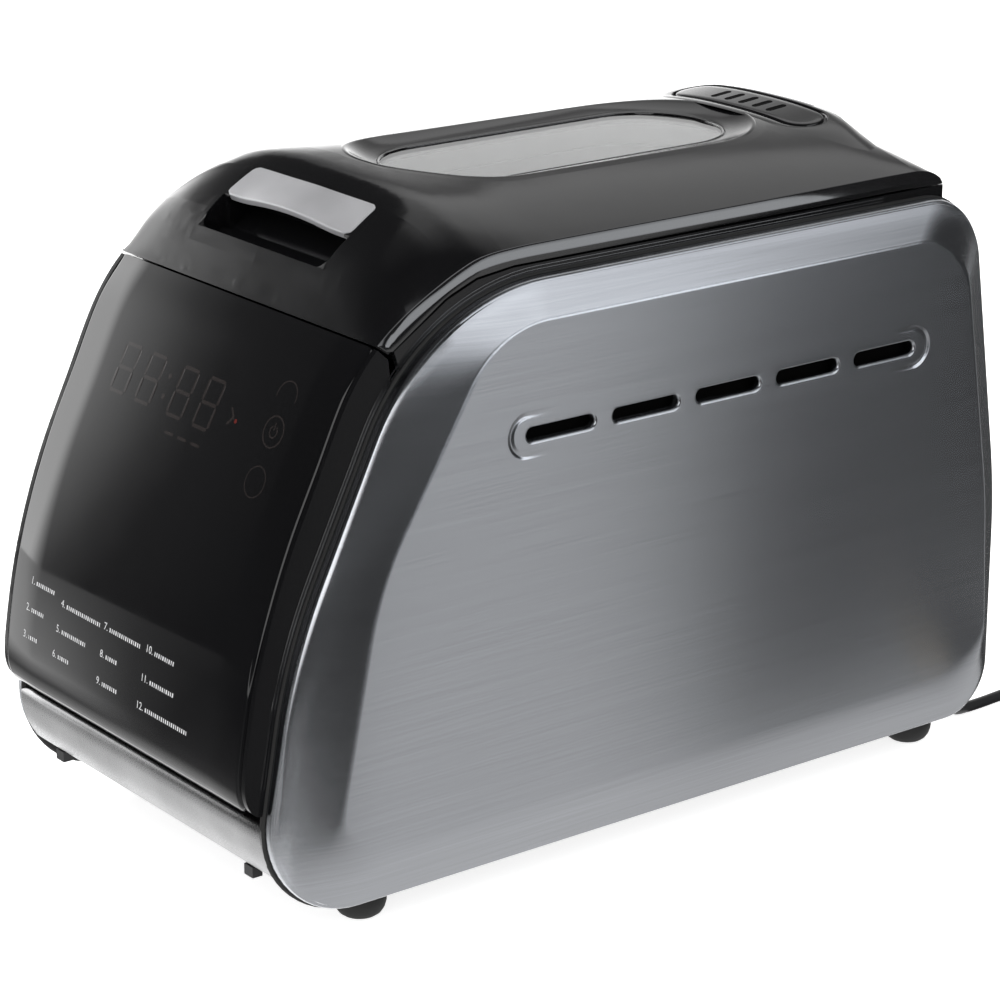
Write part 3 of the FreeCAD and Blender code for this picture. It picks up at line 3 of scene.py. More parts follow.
import bmesh
import bpy
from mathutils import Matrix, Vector


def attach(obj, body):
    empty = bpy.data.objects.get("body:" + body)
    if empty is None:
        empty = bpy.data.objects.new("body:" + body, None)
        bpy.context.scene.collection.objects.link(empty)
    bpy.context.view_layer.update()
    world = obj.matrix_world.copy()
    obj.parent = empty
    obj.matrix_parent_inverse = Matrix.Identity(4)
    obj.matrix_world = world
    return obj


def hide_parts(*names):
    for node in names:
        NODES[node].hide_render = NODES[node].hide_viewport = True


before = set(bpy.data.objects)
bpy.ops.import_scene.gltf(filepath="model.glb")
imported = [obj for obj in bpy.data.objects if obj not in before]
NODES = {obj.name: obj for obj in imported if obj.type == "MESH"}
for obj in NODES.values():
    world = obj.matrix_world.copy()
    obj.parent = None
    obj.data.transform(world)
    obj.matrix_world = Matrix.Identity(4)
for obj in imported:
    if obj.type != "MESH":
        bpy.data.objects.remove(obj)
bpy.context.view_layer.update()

MM = 0.001
scene = bpy.context.scene


# ---------------------------------------------------------------- camera
def aim(obj, at, target):
    obj.location = Vector(at)
    obj.rotation_mode = "QUATERNION"
    obj.rotation_quaternion = (Vector(target) - Vector(at)).to_track_quat("-Z", "Y")


cam_data = bpy.data.cameras.new("camera")
cam_data.sensor_width = 36.0
cam_data.lens = 122.4
cam_data.clip_start, cam_data.clip_end = 0.05, 60.0
camera = bpy.data.objects.new("camera", cam_data)
scene.collection.objects.link(camera)
aim(camera, (1.08995, -0.83198, 0.58859), (0.0, -0.00316, 0.12698))
scene.camera = camera


# ---------------------------------------------------------------- small helpers
def link(obj):
    scene.collection.objects.link(obj)
    return obj


def mesh_object(name, verts, faces, mat, body, stands_for=(), smooth=None):
    """A piece from points in millimetres."""
    me = bpy.data.meshes.new(name)
    me.from_pydata([(x * MM, y * MM, z * MM) for x, y, z in verts], [], faces)
    me.validate()
    me.update()
    obj = link(bpy.data.objects.new(name, me))
    finish_piece(obj, mat, body, stands_for, smooth)
    return obj


def finish_piece(obj, mat, body, stands_for=(), smooth=None):
    if mat is not None:
        obj.data.materials.clear()
        obj.data.materials.append(mat)
    if smooth is not None and obj.type == "MESH":
        shade(obj, smooth)
    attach(obj, body)
    if stands_for:
        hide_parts(*stands_for)
    return obj


def shade(obj, angle):
    """Smooth shading, with edges sharper than angle (degrees) left crisp."""
    me = obj.data
    bm = bmesh.new()
    bm.from_mesh(me)
    lim = math.radians(angle)
    for f in bm.faces:
        f.smooth = True
    for e in bm.edges:
        if len(e.link_faces) == 2:
            e.smooth = e.calc_face_angle(0.0) < lim
        else:
            e.smooth = True
    bm.to_mesh(me)
    bm.free()
    me.update()


def weighted(obj):
    m = obj.modifiers.new("weighted", "WEIGHTED_NORMAL")
    m.mode = "FACE_AREA"
    m.weight = 90
    m.keep_sharp = True
    return m


def rounded(obj, width, segments=3, angle=30.0):
    m = obj.modifiers.new("edge", "BEVEL")
    m.width = width * MM
    m.segments = segments
    m.limit_method = "ANGLE"
    m.angle_limit = math.radians(angle)
    m.harden_normals = False
    return m


# ---------------------------------------------------------------- materials
class Mat:
    def __init__(self, name):
        self.m = bpy.data.materials.new(name)
        self.m.use_nodes = True
        self.t = self.m.node_tree
        self.b = self.t.nodes["Principled BSDF"]
        self.co = None

    def set(self, **kw):
        for k, v in kw.items():
            self.b.inputs[k.replace("_", " ")].default_value = v
        return self

    def node(self, kind, **kw):
        n = self.t.nodes.new(kind)
        for k, v in kw.items():
            setattr(n, k, v)
        return n

    def wire(self, a, b):
        self.t.links.new(a, b)

    def coords(self, scale, rot=(0, 0, 0)):
        """Object coordinates, in metres, times a scale along each axis."""
        if self.co is None:
            self.co = self.node("ShaderNodeTexCoord")
        mp = self.node("ShaderNodeMapping")
        mp.inputs["Scale"].default_value = scale
        mp.inputs["Rotation"].default_value = rot
        self.wire(self.co.outputs["Object"], mp.inputs["Vector"])
        return mp.outputs["Vector"]

    def noise(self, scale, detail=2.0, rough=0.5, rot=(0, 0, 0)):
        n = self.node("ShaderNodeTexNoise")
        n.inputs["Scale"].default_value = 1.0
        n.inputs["Detail"].default_value = detail
        n.inputs["Roughness"].default_value = rough
        self.wire(self.coords(scale, rot), n.inputs["Vector"])
        return n.outputs["Fac"]

    def spread(self, value, lo, hi, a=0.3, b=0.7):
        """A noise value turned into a range of numbers."""
        r = self.node("ShaderNodeMapRange")
        r.inputs["From Min"].default_value = a
        r.inputs["From Max"].default_value = b
        r.inputs["To Min"].default_value = lo
        r.inputs["To Max"].default_value = hi
        self.wire(value, r.inputs["Value"])
        return r.outputs["Result"]

    def tones(self, value, dark, light, a=0.3, b=0.7):
        r = self.node("ShaderNodeValToRGB")
        r.color_ramp.elements[0].position = a
        r.color_ramp.elements[0].color = (*dark, 1)
        r.color_ramp.elements[1].position = b
        r.color_ramp.elements[1].color = (*light, 1)
        self.wire(value, r.inputs["Fac"])
        return r.outputs["Color"]

    def bump(self, value, strength, distance, under=None):
        n = self.node("ShaderNodeBump")
        n.inputs["Strength"].default_value = strength
        n.inputs["Distance"].default_value = distance * MM
        self.wire(value, n.inputs["Height"])
        if under is not None:
            self.wire(under, n.inputs["Normal"])
        return n.outputs["Normal"]

    def to(self, out, name):
        self.wire(out, self.b.inputs[name])
        return self


def brushed(name, tint, rough, turn=0.25, aniso=0.8, along=(6.0, 14.0, 1500.0)):
    """Brushed sheet: fine scratches along Y, reflections drawn out across them."""
    m = Mat(name)
    m.set(Metallic=1.0, Anisotropic=aniso, Anisotropic_Rotation=turn)
    fine = m.noise(along, 3.0, 0.6)
    broad = m.noise((3.0, along[1] * 0.5, along[2] * 0.3), 2.0, 0.5)
    m.to(m.tones(fine, [c * 0.95 for c in tint], [c * 1.05 for c in tint], 0.28, 0.72), "Base Color")
    m.to(m.spread(broad, rough - 0.008, rough + 0.008), "Roughness")
    m.to(m.bump(fine, 0.012, 0.002), "Normal")
    tan = m.node("ShaderNodeTangent", direction_type="RADIAL", axis="Z")
    m.wire(tan.outputs["Tangent"], m.b.inputs["Tangent"])
    return m.m


def moulded(name, tone, rough, grain=2600.0, depth=0.02, spec=0.5, vary=0.04, strength=0.2):
    """Moulded plastic with a fine spark-eroded grain."""
    m = Mat(name)
    m.set(Specular_IOR_Level=spec)
    g = m.noise((grain, grain, grain), 2.0, 0.6)
    broad = m.noise((22.0, 22.0, 22.0), 3.0, 0.55)
    m.to(m.tones(broad, [c * 0.88 for c in tone], [c * 1.1 for c in tone]), "Base Color")
    m.to(m.spread(broad, rough - vary, rough + vary), "Roughness")
    m.to(m.bump(g, strength, depth), "Normal")
    return m.m


def polished(name, tone, rough, wave=0.0):
    """Polished plastic: deep colour, clear surface with faint moulding waves."""
    m = Mat(name)
    m.set(Specular_IOR_Level=0.5)
    broad = m.noise((9.0, 9.0, 9.0), 2.0, 0.5)
    m.to(m.tones(broad, [c * 0.9 for c in tone], [c * 1.1 for c in tone]), "Base Color")
    m.to(m.spread(m.noise((60.0, 60.0, 60.0), 4.0, 0.6), rough, rough + 0.03), "Roughness")
    if wave:
        m.to(m.bump(broad, 0.3, wave), "Normal")
    return m.m


def metal(name, tint, rough, grain=900.0, strength=0.15):
    m = Mat(name)
    m.set(Metallic=1.0)
    g = m.noise((grain, grain, grain), 3.0, 0.6)
    broad = m.noise((35.0, 35.0, 35.0), 3.0, 0.5)
    m.to(m.tones(broad, [c * 0.85 for c in tint], [c * 1.08 for c in tint]), "Base Color")
    m.to(m.spread(g, rough - 0.06, rough + 0.08), "Roughness")
    m.to(m.bump(g, strength, 0.02), "Normal")
    return m.m


STEEL = brushed("steel_brushed", (0.565, 0.58, 0.61), 0.24)
# Near-black and very matte: painted shade for what shows dark through slots, used on the duct behind the side slots
# and on the vent's slot patches
SLOT_SHADE = moulded("duct_black_and_painted_slot_shade", (0.0015, 0.0015, 0.0015), 0.8, 1200.0, 0.05, 0.05)
SATIN = moulded("lid_satin", (0.0045, 0.0045, 0.005), 0.15, 2400.0, 0.005, vary=0.02)
GLOSS = polished("black_gloss", (0.006, 0.006, 0.0065), 0.05)
DARK = polished("frame_gloss", (0.004, 0.004, 0.0045), 0.07)
DARK.node_tree.nodes["Principled BSDF"].inputs["Specular IOR Level"].default_value = 0.22
PANEL = polished("panel_gloss", (0.004, 0.004, 0.0045), 0.035)
GRAIN = moulded("black_grained", (0.02, 0.02, 0.021), 0.5, 1500.0, 0.05, strength=0.4)
SILVER = metal("silver_satin", (0.43, 0.43, 0.435), 0.28, 2600.0, 0.03)
PAINT = moulded("silver_paint", (0.46, 0.46, 0.475), 0.38, 3000.0, 0.008)
PAINT.node_tree.nodes["Principled BSDF"].inputs["Metallic"].default_value = 0.4
BAND = polished("band_gloss", (0.006, 0.006, 0.0065), 0.04)
BAND.node_tree.nodes["Principled BSDF"].inputs["Specular IOR Level"].default_value = 1.0
BAND.node_tree.nodes["Principled BSDF"].inputs["Coat Weight"].default_value = 0.55
RUBBER = moulded("rubber", (0.018, 0.018, 0.018), 0.7, 1200.0, 0.05, 0.3, strength=0.4)
LEAD = moulded("lead_rubber", (0.012, 0.012, 0.013), 0.45, 1800.0, 0.03, 0.45)
SHEET = metal("oven_sheet", (0.62, 0.62, 0.61), 0.34, 700.0)
BARE = metal("ground_steel", (0.58, 0.58, 0.59), 0.25, 1400.0)
ALLOY = metal("cast_alloy", (0.55, 0.55, 0.55), 0.42, 900.0, 0.4)
BRONZE = metal("bronze", (0.62, 0.46, 0.24), 0.3)
COPPER = metal("copper_wire", (0.62, 0.30, 0.15), 0.35, 400.0, 0.5)
IRON = metal("laminated_iron", (0.22, 0.22, 0.225), 0.45, 700.0, 0.4)
SHEATH = moulded("heater_sheath", (0.06, 0.055, 0.05), 0.55, 900.0, 0.05)
COAT = moulded("nonstick", (0.035, 0.035, 0.037), 0.36, 1600.0, 0.03, 0.5, strength=0.5)
GREY = moulded("moulded_grey", (0.24, 0.24, 0.245), 0.5)
CERAMIC = moulded("ceramic", (0.8, 0.78, 0.72), 0.25, 900.0, 0.02)
BOARD = moulded("board_green", (0.02, 0.11, 0.05), 0.4)
CHIPS = moulded("components", (0.03, 0.03, 0.04), 0.45)

m = Mat("window_glass")
m.set(Base_Color=(0.93, 0.95, 0.95, 1), Roughness=0.02, IOR=1.5, Transmission_Weight=1.0)
m.to(m.bump(m.noise((14.0, 14.0, 14.0), 2.0, 0.5), 0.1, 0.05), "Normal")
GLASS = m.m

FINISH = {
    "side_panel_right": STEEL, "side_panel_left": STEEL, "control_panel": PANEL, "front_frame": DARK, "top_frame": GLOSS,
    "lower_strip": SILVER, "base_tray": GRAIN, "rubber_feet": RUBBER, "rear_cover": GRAIN, "drive_chassis": SHEET,
    "chassis_pillars": BARE, "bearing_housing": ALLOY, "spindle_bushes": BRONZE, "drive_shaft": BARE, "drive_coupler": ALLOY,
    "large_pulley": GREY, "motor_pulley": GREY, "drive_belt": RUBBER, "rotor_shaft": BARE, "rotor": IRON, "motor_core": IRON,
    "motor_windings": COPPER, "motor_lower_bracket": SHEET, "motor_upper_bracket": SHEET, "motor_capacitor": GREY,
    "oven_chamber": SHEET, "pan_seat": SHEET, "pan_clips": BARE, "heating_element": SHEATH, "heater_insulators": CERAMIC,
    "heater_clips": SHEET, "temperature_sensor": BARE, "thermal_fuse": CERAMIC, "bread_pan": COAT, "pan_base_ring": ALLOY,
    "pan_bushing": ALLOY, "pan_shaft": BARE, "pan_coupling": ALLOY, "kneading_paddle": COAT, "bail_handle": BARE,
    "display_board": BOARD, "display_module": CHIPS, "power_board": BOARD, "power_board_parts": CHIPS, "board_posts": GREY,
    "hinge_pins": BARE, "lid_shell": SATIN, "lid_handle": SILVER, "vent_grille": SATIN, "window_glass": GLASS,
    "window_gasket": RUBBER, "lid_inner_cover": GRAIN, "lid_liner": SHEET, "cord_gland": LEAD, "power_cord": LEAD,
    "power_cord_coil": LEAD, "power_cord_tail": LEAD, "plug_body": LEAD, "plug_pins": BRONZE, "housing_screws": BARE,
}
for name, obj in NODES.items():
    for i in range(max(1, len(obj.data.materials))):
        if i < len(obj.data.materials):
            obj.data.materials[i] = FINISH[name]
        else:
            obj.data.materials.append(FINISH[name])


# ---------------------------------------------------------------- shapes shared by the pieces
def run(points, n=10):
    """A smooth line through points (centripetal Catmull-Rom), in the points' own dimensions."""
    ps = [Vector(p) for p in points]
    ps = [ps[0] * 2 - ps[1]] + ps + [ps[-1] * 2 - ps[-2]]
    out = []
    for i in range(1, len(ps) - 2):
        p0, p1, p2, p3 = ps[i - 1:i + 3]
        t1 = (p1 - p0).length ** 0.5
        t2 = t1 + (p2 - p1).length ** 0.5
        t3 = t2 + (p3 - p2).length ** 0.5
        for k in range(n):
            t = t1 + (t2 - t1) * k / n
            a1 = p0 * ((t1 - t) / t1) + p1 * (t / t1)
            a2 = p1 * ((t2 - t) / (t2 - t1)) + p2 * ((t - t1) / (t2 - t1))
            a3 = p2 * ((t3 - t) / (t3 - t2)) + p3 * ((t - t2) / (t3 - t2))
            b1 = a1 * ((t2 - t) / t2) + a2 * (t / t2)
            b2 = a2 * ((t3 - t) / (t3 - t1)) + a3 * ((t - t1) / (t3 - t1))
            out.append(b1 * ((t2 - t) / (t2 - t1)) + b2 * ((t - t1) / (t2 - t1)))
    out.append(ps[-2])
    return out


def smooth(nodes, v):
    """Monotone cubic through (place, value) pairs."""
    xs = [a for a, b in nodes]
    ys = [b for a, b in nodes]
    n = len(xs)
    h = [xs[i + 1] - xs[i] for i in range(n - 1)]
    dl = [(ys[i + 1] - ys[i]) / h[i] for i in range(n - 1)]
    m = [dl[0]] + [0.0] * (n - 2) + [dl[-1]]
    for i in range(1, n - 1):
        if dl[i - 1] * dl[i] > 0:
            w1, w2 = 2 * h[i] + h[i - 1], h[i] + 2 * h[i - 1]
            m[i] = (w1 + w2) / (w1 / dl[i - 1] + w2 / dl[i])
    v = max(xs[0], min(xs[-1], v))
    i = 0
    while i < n - 2 and v > xs[i + 1]:
        i += 1
    t = (v - xs[i]) / h[i]
    return ((1 + 2 * t) * (1 - t) ** 2 * ys[i] + t * (1 - t) ** 2 * h[i] * m[i]
            + t * t * (3 - 2 * t) * ys[i + 1] + t * t * (t - 1) * h[i] * m[i + 1])


def soft(k):
    k = max(0.0, min(1.0, k))
    return k * k * (3 - 2 * k)


def stadium(cy, cz, half, r, n=12, line=0):
    """Points (y, z) round a slot with half-round ends; half is to the middle of the end arcs."""
    out = []
    for k in range(n + 1):
        a = -math.pi / 2 + math.pi * k / n
        out.append((cy + half + r * math.cos(a), cz + r * math.sin(a)))
    out += [(cy + half - 2 * half * k / (line + 1), cz + r) for k in range(1, line + 1)]
    for k in range(n + 1):
        a = math.pi / 2 + math.pi * k / n
        out.append((cy - half + r * math.cos(a), cz + r * math.sin(a)))
    out += [(cy - half + 2 * half * k / (line + 1), cz - r) for k in range(1, line + 1)]
    return out


def bands(rings, first):
    """Quads between closed rings of equal count, numbered from first."""
    faces = []
    n = len(rings[0])
    for k in range(len(rings) - 1):
        for i in range(n):
            j = (i + 1) % n
            a = first + k * n
            faces.append((a + i, a + j, a + n + j, a + n + i))
    return faces


# ---------------------------------------------------------------- steel sides
EDGE = [(-110.2, 253.7, 90.0), (-174.0, 124.0, 220.0), (-193.5, 14.8, 40.0), (194.3, 14.8, 22.0), (194.7, 118.0, 300.0), (175.2, 253.7, 30.0)]
CREASE = [(-84.4, 240.0, 43.0), (-141.2, 148.3, 130.0), (-164.8, 33.5, 20.0), (184.8, 33.2, 28.0), (180.0, 120.0, 250.0), (161.4, 240.0, 32.0)]


def outline(corners, n_arc=16, n_line=8):
    n = len(corners)
    arcs = []
    for i in range(n):
        p0, p1, p2 = corners[i - 1], corners[i], corners[(i + 1) % n]
        a = Vector((p0[0] - p1[0], p0[1] - p1[1])).normalized()
        b = Vector((p2[0] - p1[0], p2[1] - p1[1])).normalized()
        half = math.acos(max(-1.0, min(1.0, a.dot(b)))) / 2
        t = p1[2] / math.tan(half)
        c = Vector(p1[:2])
        centre = c + (a + b).normalized() * (p1[2] / math.sin(half))
        s0, s1 = c + a * t - centre, c + b * t - centre
        a0, a1 = math.atan2(s0.y, s0.x), math.atan2(s1.y, s1.x)
        turn = (a1 - a0 + math.pi) % (2 * math.pi) - math.pi
        arcs.append([centre + Vector((math.cos(a0 + turn * k / n_arc), math.sin(a0 + turn * k / n_arc))) * p1[2] for k in range(n_arc + 1)])
    out = []
    for i in range(n):
        out += arcs[i]
        s, e = arcs[i][-1], arcs[(i + 1) % n][0]
        out += [s + (e - s) * (k / (n_line + 1)) for k in range(1, n_line + 1)]
    return out


def side_panel(name, node, sign):
    rim, crease = outline(EDGE), outline(CREASE)
    n = len(rim)
    soften = [0.07 + 0.40 * soft((62.0 - c.y) / 30.0) for c in crease]
    rings = []
    rings.append([(92.3, p.x, p.y) for p in rim])
    for deg in (0, 15, 30, 45, 60, 73):
        a = math.radians(deg)
        ring = []
        for e, c in zip(rim, crease):
            p = e + (c - e).normalized() * (2.5 * (1 - math.cos(a)))
            ring.append((94.9 + 2.5 * math.sin(a), p.x, p.y))
        rings.append(ring)
    for k in range(1, 6):
        ring = []
        for e, c, w in zip(rim, crease, soften):
            t = 0.10 + (1 - w - 0.10) * (k - 1) / 4
            p = e + (c - e) * t
            ring.append((97.3 + 9.0 * t, p.x, p.y))
        rings.append(ring)
    for k in range(1, 9):
        ring = []
        for e, c, w in zip(rim, crease, soften):
            t = 1 - w + 2 * w * k / 8
            p = e + (c - e) * t
            ring.append((106.3 - 9.0 * (1 + w - t) ** 2 / (4 * w), p.x, p.y))
        rings.append(ring)
    verts = [p for ring in rings for p in ring]
    faces = bands(rings, 0)
    outer = list(range(len(verts) - n, len(verts)))
    # the shallow pressed field round the slots
    cy, cz, half = (132.9 - 70.5) / 2, 195.2, (132.9 + 70.5) / 2
    field = []
    for k in range(9):
        u = k / 8
        field.append([(106.3 - 0.5 * soft((abs(y - cy) - half + 9.0) / 12.0) * math.sin(math.pi * u) ** 2, y, z)
                      for y, z in stadium(cy, cz, half, 9.9 - 3.4 * u, 14, 48)])
    f0 = len(verts)
    verts += [p for ring in field for p in ring]
    faces += bands(field, f0)
    nf = len(field[0])
    field_in, field_out = list(range(f0 + 8 * nf, f0 + 9 * nf)), list(range(f0, f0 + nf))
    holes = []
    for i in range(5):
        y = 31.2 + 42.65 * (i - 2)
        lips = []
        for grow, x in ((1.25, 106.3), (0.95, 106.25), (0.55, 106.05), (0.22, 105.7), (0.03, 105.2), (0.0, 104.7), (0.0, 102.6)):
            lips.append([(x, py, pz) for py, pz in stadium(y, 195.2, 13.9, 2.75 + grow)])
        h0 = len(verts)
        verts += [p for ring in lips for p in ring]
        faces += bands(lips, h0)
        holes.append(list(range(h0, h0 + len(lips[0]))))
    verts = [(x * sign, y, z) for x, y, z in verts]
    me = bpy.data.meshes.new(name)
    me.from_pydata([(x * MM, y * MM, z * MM) for x, y, z in verts], [], faces)
    bm = bmesh.new()
    bm.from_mesh(me)
    bm.verts.ensure_lookup_table()

    def close(loops):
        edges = []
        for loop in loops:
            for a, b in zip(loop, loop[1:] + loop[:1]):
                e = bm.edges.get((bm.verts[a], bm.verts[b]))
                edges.append(e or bm.edges.new((bm.verts[a], bm.verts[b])))
        bmesh.ops.triangle_fill(bm, use_beauty=True, use_dissolve=False, edges=edges, normal=(sign, 0, 0))

    close([outer, field_out])
    close([field_in] + holes)
    bmesh.ops.recalc_face_normals(bm, faces=bm.faces)
    probe = max(bm.faces, key=lambda f: f.calc_area())
    if probe.normal.x * sign < 0:
        bmesh.ops.reverse_faces(bm, faces=bm.faces)
    bm.to_mesh(me)
    bm.free()
    obj = link(bpy.data.objects.new(name, me))
    finish_piece(obj, STEEL, "housing", (node,), 40)
    weighted(obj)
    return obj


side_panel("steel_side_right", "side_panel_right", 1)
side_panel("steel_side_left", "side_panel_left", -1)


def slot_shade_duct(name, sign):
    """The shallow black duct behind the slots, partly real and partly painted shade: its near-black tone keeps what
    shows through the slots dark.
    """
    rings = [[(x * sign, y, z) for y, z in stadium(31.2, 195.2, 101.0 + grow, 7.0 + grow, 10, 12)] for grow, x in ((1.6, 103.6), (0.4, 103.2), (-0.6, 101.6), (-2.2, 100.4), (-6.5, 100.0))]
    verts = [p for r in rings for p in r]
    n = len(rings[0])
    faces = bands(rings, 0) + [tuple(range(4 * n, 5 * n))]
    if sign > 0:
        faces = [tuple(reversed(f)) for f in faces]
    return mesh_object(name, verts, faces, SLOT_SHADE, "housing", (), 40)


slot_shade_duct("slot_shade_duct_right", 1)
slot_shade_duct("slot_shade_duct_left", -1)


def side_seal(name, sign):
    """The thin dark moulding the steel side is let into."""
    rim = outline(EDGE)
    n = len(rim)
    sec = ((92.5, 0.1), (92.2, 0.7), (91.4, 1.1), (90.4, 1.1), (89.7, 0.7), (89.4, 0.0), (89.4, -3.0))
    rings = []
    for x, off in sec:
        ring = []
        for i, p in enumerate(rim):
            d = (rim[(i + 1) % n] - rim[i - 1]).normalized()
            q = Vector((d.y, -d.x))
            if q.dot(p - Vector((0.0, 130.0))) < 0:
                q = -q
            c = p + q * off
            ring.append((x * sign, c.x, c.y))
        rings.append(ring)
    verts = [p for r in rings for p in r]
    faces = bands(rings, 0)
    if sign < 0:
        faces = [tuple(reversed(f)) for f in faces]
    return mesh_object(name, verts, faces, RUBBER, "housing", (), 60)


side_seal("side_seal_right", 1)
side_seal("side_seal_left", -1)


def flank_beads(name, sign):
    """Two fine raised lines on the black flank, following the edge of the steel."""
    rim = outline(EDGE)
    n = len(rim)
    order = list(range(n - 8, n)) + list(range(0, 50))
    verts, faces = [], []
    for off, radius in ((2.0, 0.28), (3.3, 0.36)):
        rings = []
        for i in order:
            p = rim[i]
            if p.y < 72.0 or p.x > 152.0:
                continue
            d = (rim[(i + 1) % n] - rim[i - 1]).normalized()
            q = Vector((d.y, -d.x))
            if q.dot(p - Vector((0.0, 130.0))) < 0:
                q = -q
            ring = []
            for k in range(7):
                a = math.radians(-90 + 30 * k)
                c = p + q * (off + radius * math.sin(a))
                ring.append(((91.46 + 0.9 * radius * math.cos(a)) * sign, c.x, c.y))
            rings.append(ring)
        base = len(verts)
        verts += [v for ring in rings for v in ring]
        for j in range(len(rings) - 1):
            for k in range(6):
                a = base + 7 * j + k
                faces.append((a, a + 1, a + 8, a + 7))
    return mesh_object(name, verts, faces, BAND, "housing", (), 60)


flank_beads("flank_beads_right", 1)
flank_beads("flank_beads_left", -1)


# ---------------------------------------------------------------- control panel
FRONT = [(-131, 236.9), (-143.3, 221.8), (-157.5, 193.5), (-171.1, 165.1), (-182.1, 136), (-188.7, 112.3), (-193.3, 87.9), (-194.7, 76.2), (-194.4, 70.2), (-192.5, 65), (-189, 61.4)]
PROFILE = run(FRONT, 14)
ARC = [0.0]
for a, b in zip(PROFILE, PROFILE[1:]):
    ARC.append(ARC[-1] + (b - a).length)


def outward(line, i):
    d = line[min(i + 1, len(line) - 1)] - line[max(i - 1, 0)]
    d.normalize()
    return Vector((d.y, -d.x))


def on_panel(x, s, lift=0.0):
    """Place on the panel's face, s along its section from the top edge."""
    i = 0
    while i < len(ARC) - 2 and ARC[i + 1] < s:
        i += 1
    k = (s - ARC[i]) / (ARC[i + 1] - ARC[i])
    p = PROFILE[i].lerp(PROFILE[i + 1], k)
    q = outward(PROFILE, i).lerp(outward(PROFILE, i + 1), k).normalized()
    p = p + q * lift
    return (x, p.x, p.y)


def rolled_bar(name, line, half, radius, depth, mat, node, narrow=None, columns=9):
    """A section (y, z) drawn out along X, its two long edges rounded back."""
    steps = [(-90, depth)] + [(-90 + 90 * k / 5, None) for k in range(6)]
    cols = []
    for deg, deep in steps:
        a = math.radians(deg)
        cols.append((-1, radius * math.sin(a), deep if deep else radius * (1 - math.cos(a))))
    for k in range(1, columns):
        cols.append((0, -1 + 2 * k / columns, 0.0))
    cols += [(1, -c[1], c[2]) for c in reversed(cols[:7])]
    verts, faces = [], []
    for i, p in enumerate(line):
        q = outward(line, i)
        h = half - (narrow(i) if narrow else 0.0)
        for side, dx, deep in cols:
            x = side * (h - radius) + dx if side else dx * (h - radius)
            y, z = p.x - q.x * deep, p.y - q.y * deep
            verts.append((x, y, z))
    n = len(cols)
    for i in range(len(line) - 1):
        for j in range(n - 1):
            a = i * n + j
            faces.append((a, a + 1, a + n + 1, a + n))
    return mesh_object(name, verts, faces, mat, "housing", (node,) if node else (), 50)


LIP = [Vector(p) for p in ((-123.9, 229.0), (-124.9, 233.1), (-126.4, 234.25), (-128.6, 235.8), (-129.9, 236.6))]
section = LIP + PROFILE + [Vector((-186.5, 60.9)), Vector((-184.0, 61.0))]
reach = [0.0]
for a, b in zip(reversed(section), list(reversed(section))[1:]):
    reach.append(reach[-1] + (b - a).length)
reach = list(reversed(reach))


def lower_corner(i):
    s = max(0.0, reach[i] - 4.0)
    return 9.0 - math.sqrt(max(0.0, 81.0 - (9.0 - s) ** 2)) if s < 9.0 else 0.0


rolled_bar("front_panel", section, 88.8, 2.4, 3.4, PANEL, "control_panel", lower_corner)

# ---------------------------------------------------------------- lower strip
STRIP = [(-178.5, 57.6), (-183.6, 57.7), (-185.8, 57.3), (-187.0, 55.9), (-187.2, 52.5), (-186.4, 48), (-184.6, 41.4), (-182, 35.9), (-180.6, 33.9), (-178.6, 33.2), (-172.0, 33.3)]
rolled_bar("trim_strip", run(STRIP, 6), 91.5, 0.8, 4.0, SILVER, "lower_strip")

# ---------------------------------------------------------------- lid: handle plate and glossy bands
CREST = [(-150, 215.6), (-140, 227.8), (-130.4, 237.2), (-117.2, 247.1), (-100, 256.8), (-90, 261.4), (-82.5, 264), (-72, 265.4), (-57, 265.9),
         (0, 265.8), (62, 265.6), (123, 265.7), (146, 265.5), (154, 264.2), (158, 262.4), (161, 260.2), (168, 254)]
RISE = [(-150, .2), (-134, .2), (-130.4, .6), (-126, 7.6), (-121.5, 12.6), (-115, 15), (-109, 15.8), (-100, 16.8), (-95, 17.2), (-82, 18), (-69.4, 17.8),
        (0, 17.3), (62, 16.8), (110, 15.6), (132, 14.6), (146, 11.8), (154, 8), (158, 6), (161, 4), (168, 2)]
POWER = [(-150, 14), (-131, 14), (-121, 12), (-103, 8), (-88, 4.7), (-70, 3.2), (-50, 2.6), (0, 2.4), (168, 2.4)]
PART = [(-133.1, 239.4), (-124.6, 233.5), (-98, 251.2), (-84, 256.6), (-66, 258.6), (160.8, 258.6)]


def lid_height(x, y):
    return smooth(CREST, y) + smooth(RISE, y) * (1 - abs(x / 90.5) ** smooth(POWER, y))


def parting(y):
    for (a, za), (b, zb) in zip(PART, PART[1:]):
        if y <= b:
            return za + (zb - za) * (y - a) / (b - a)
    return PART[-1][1]


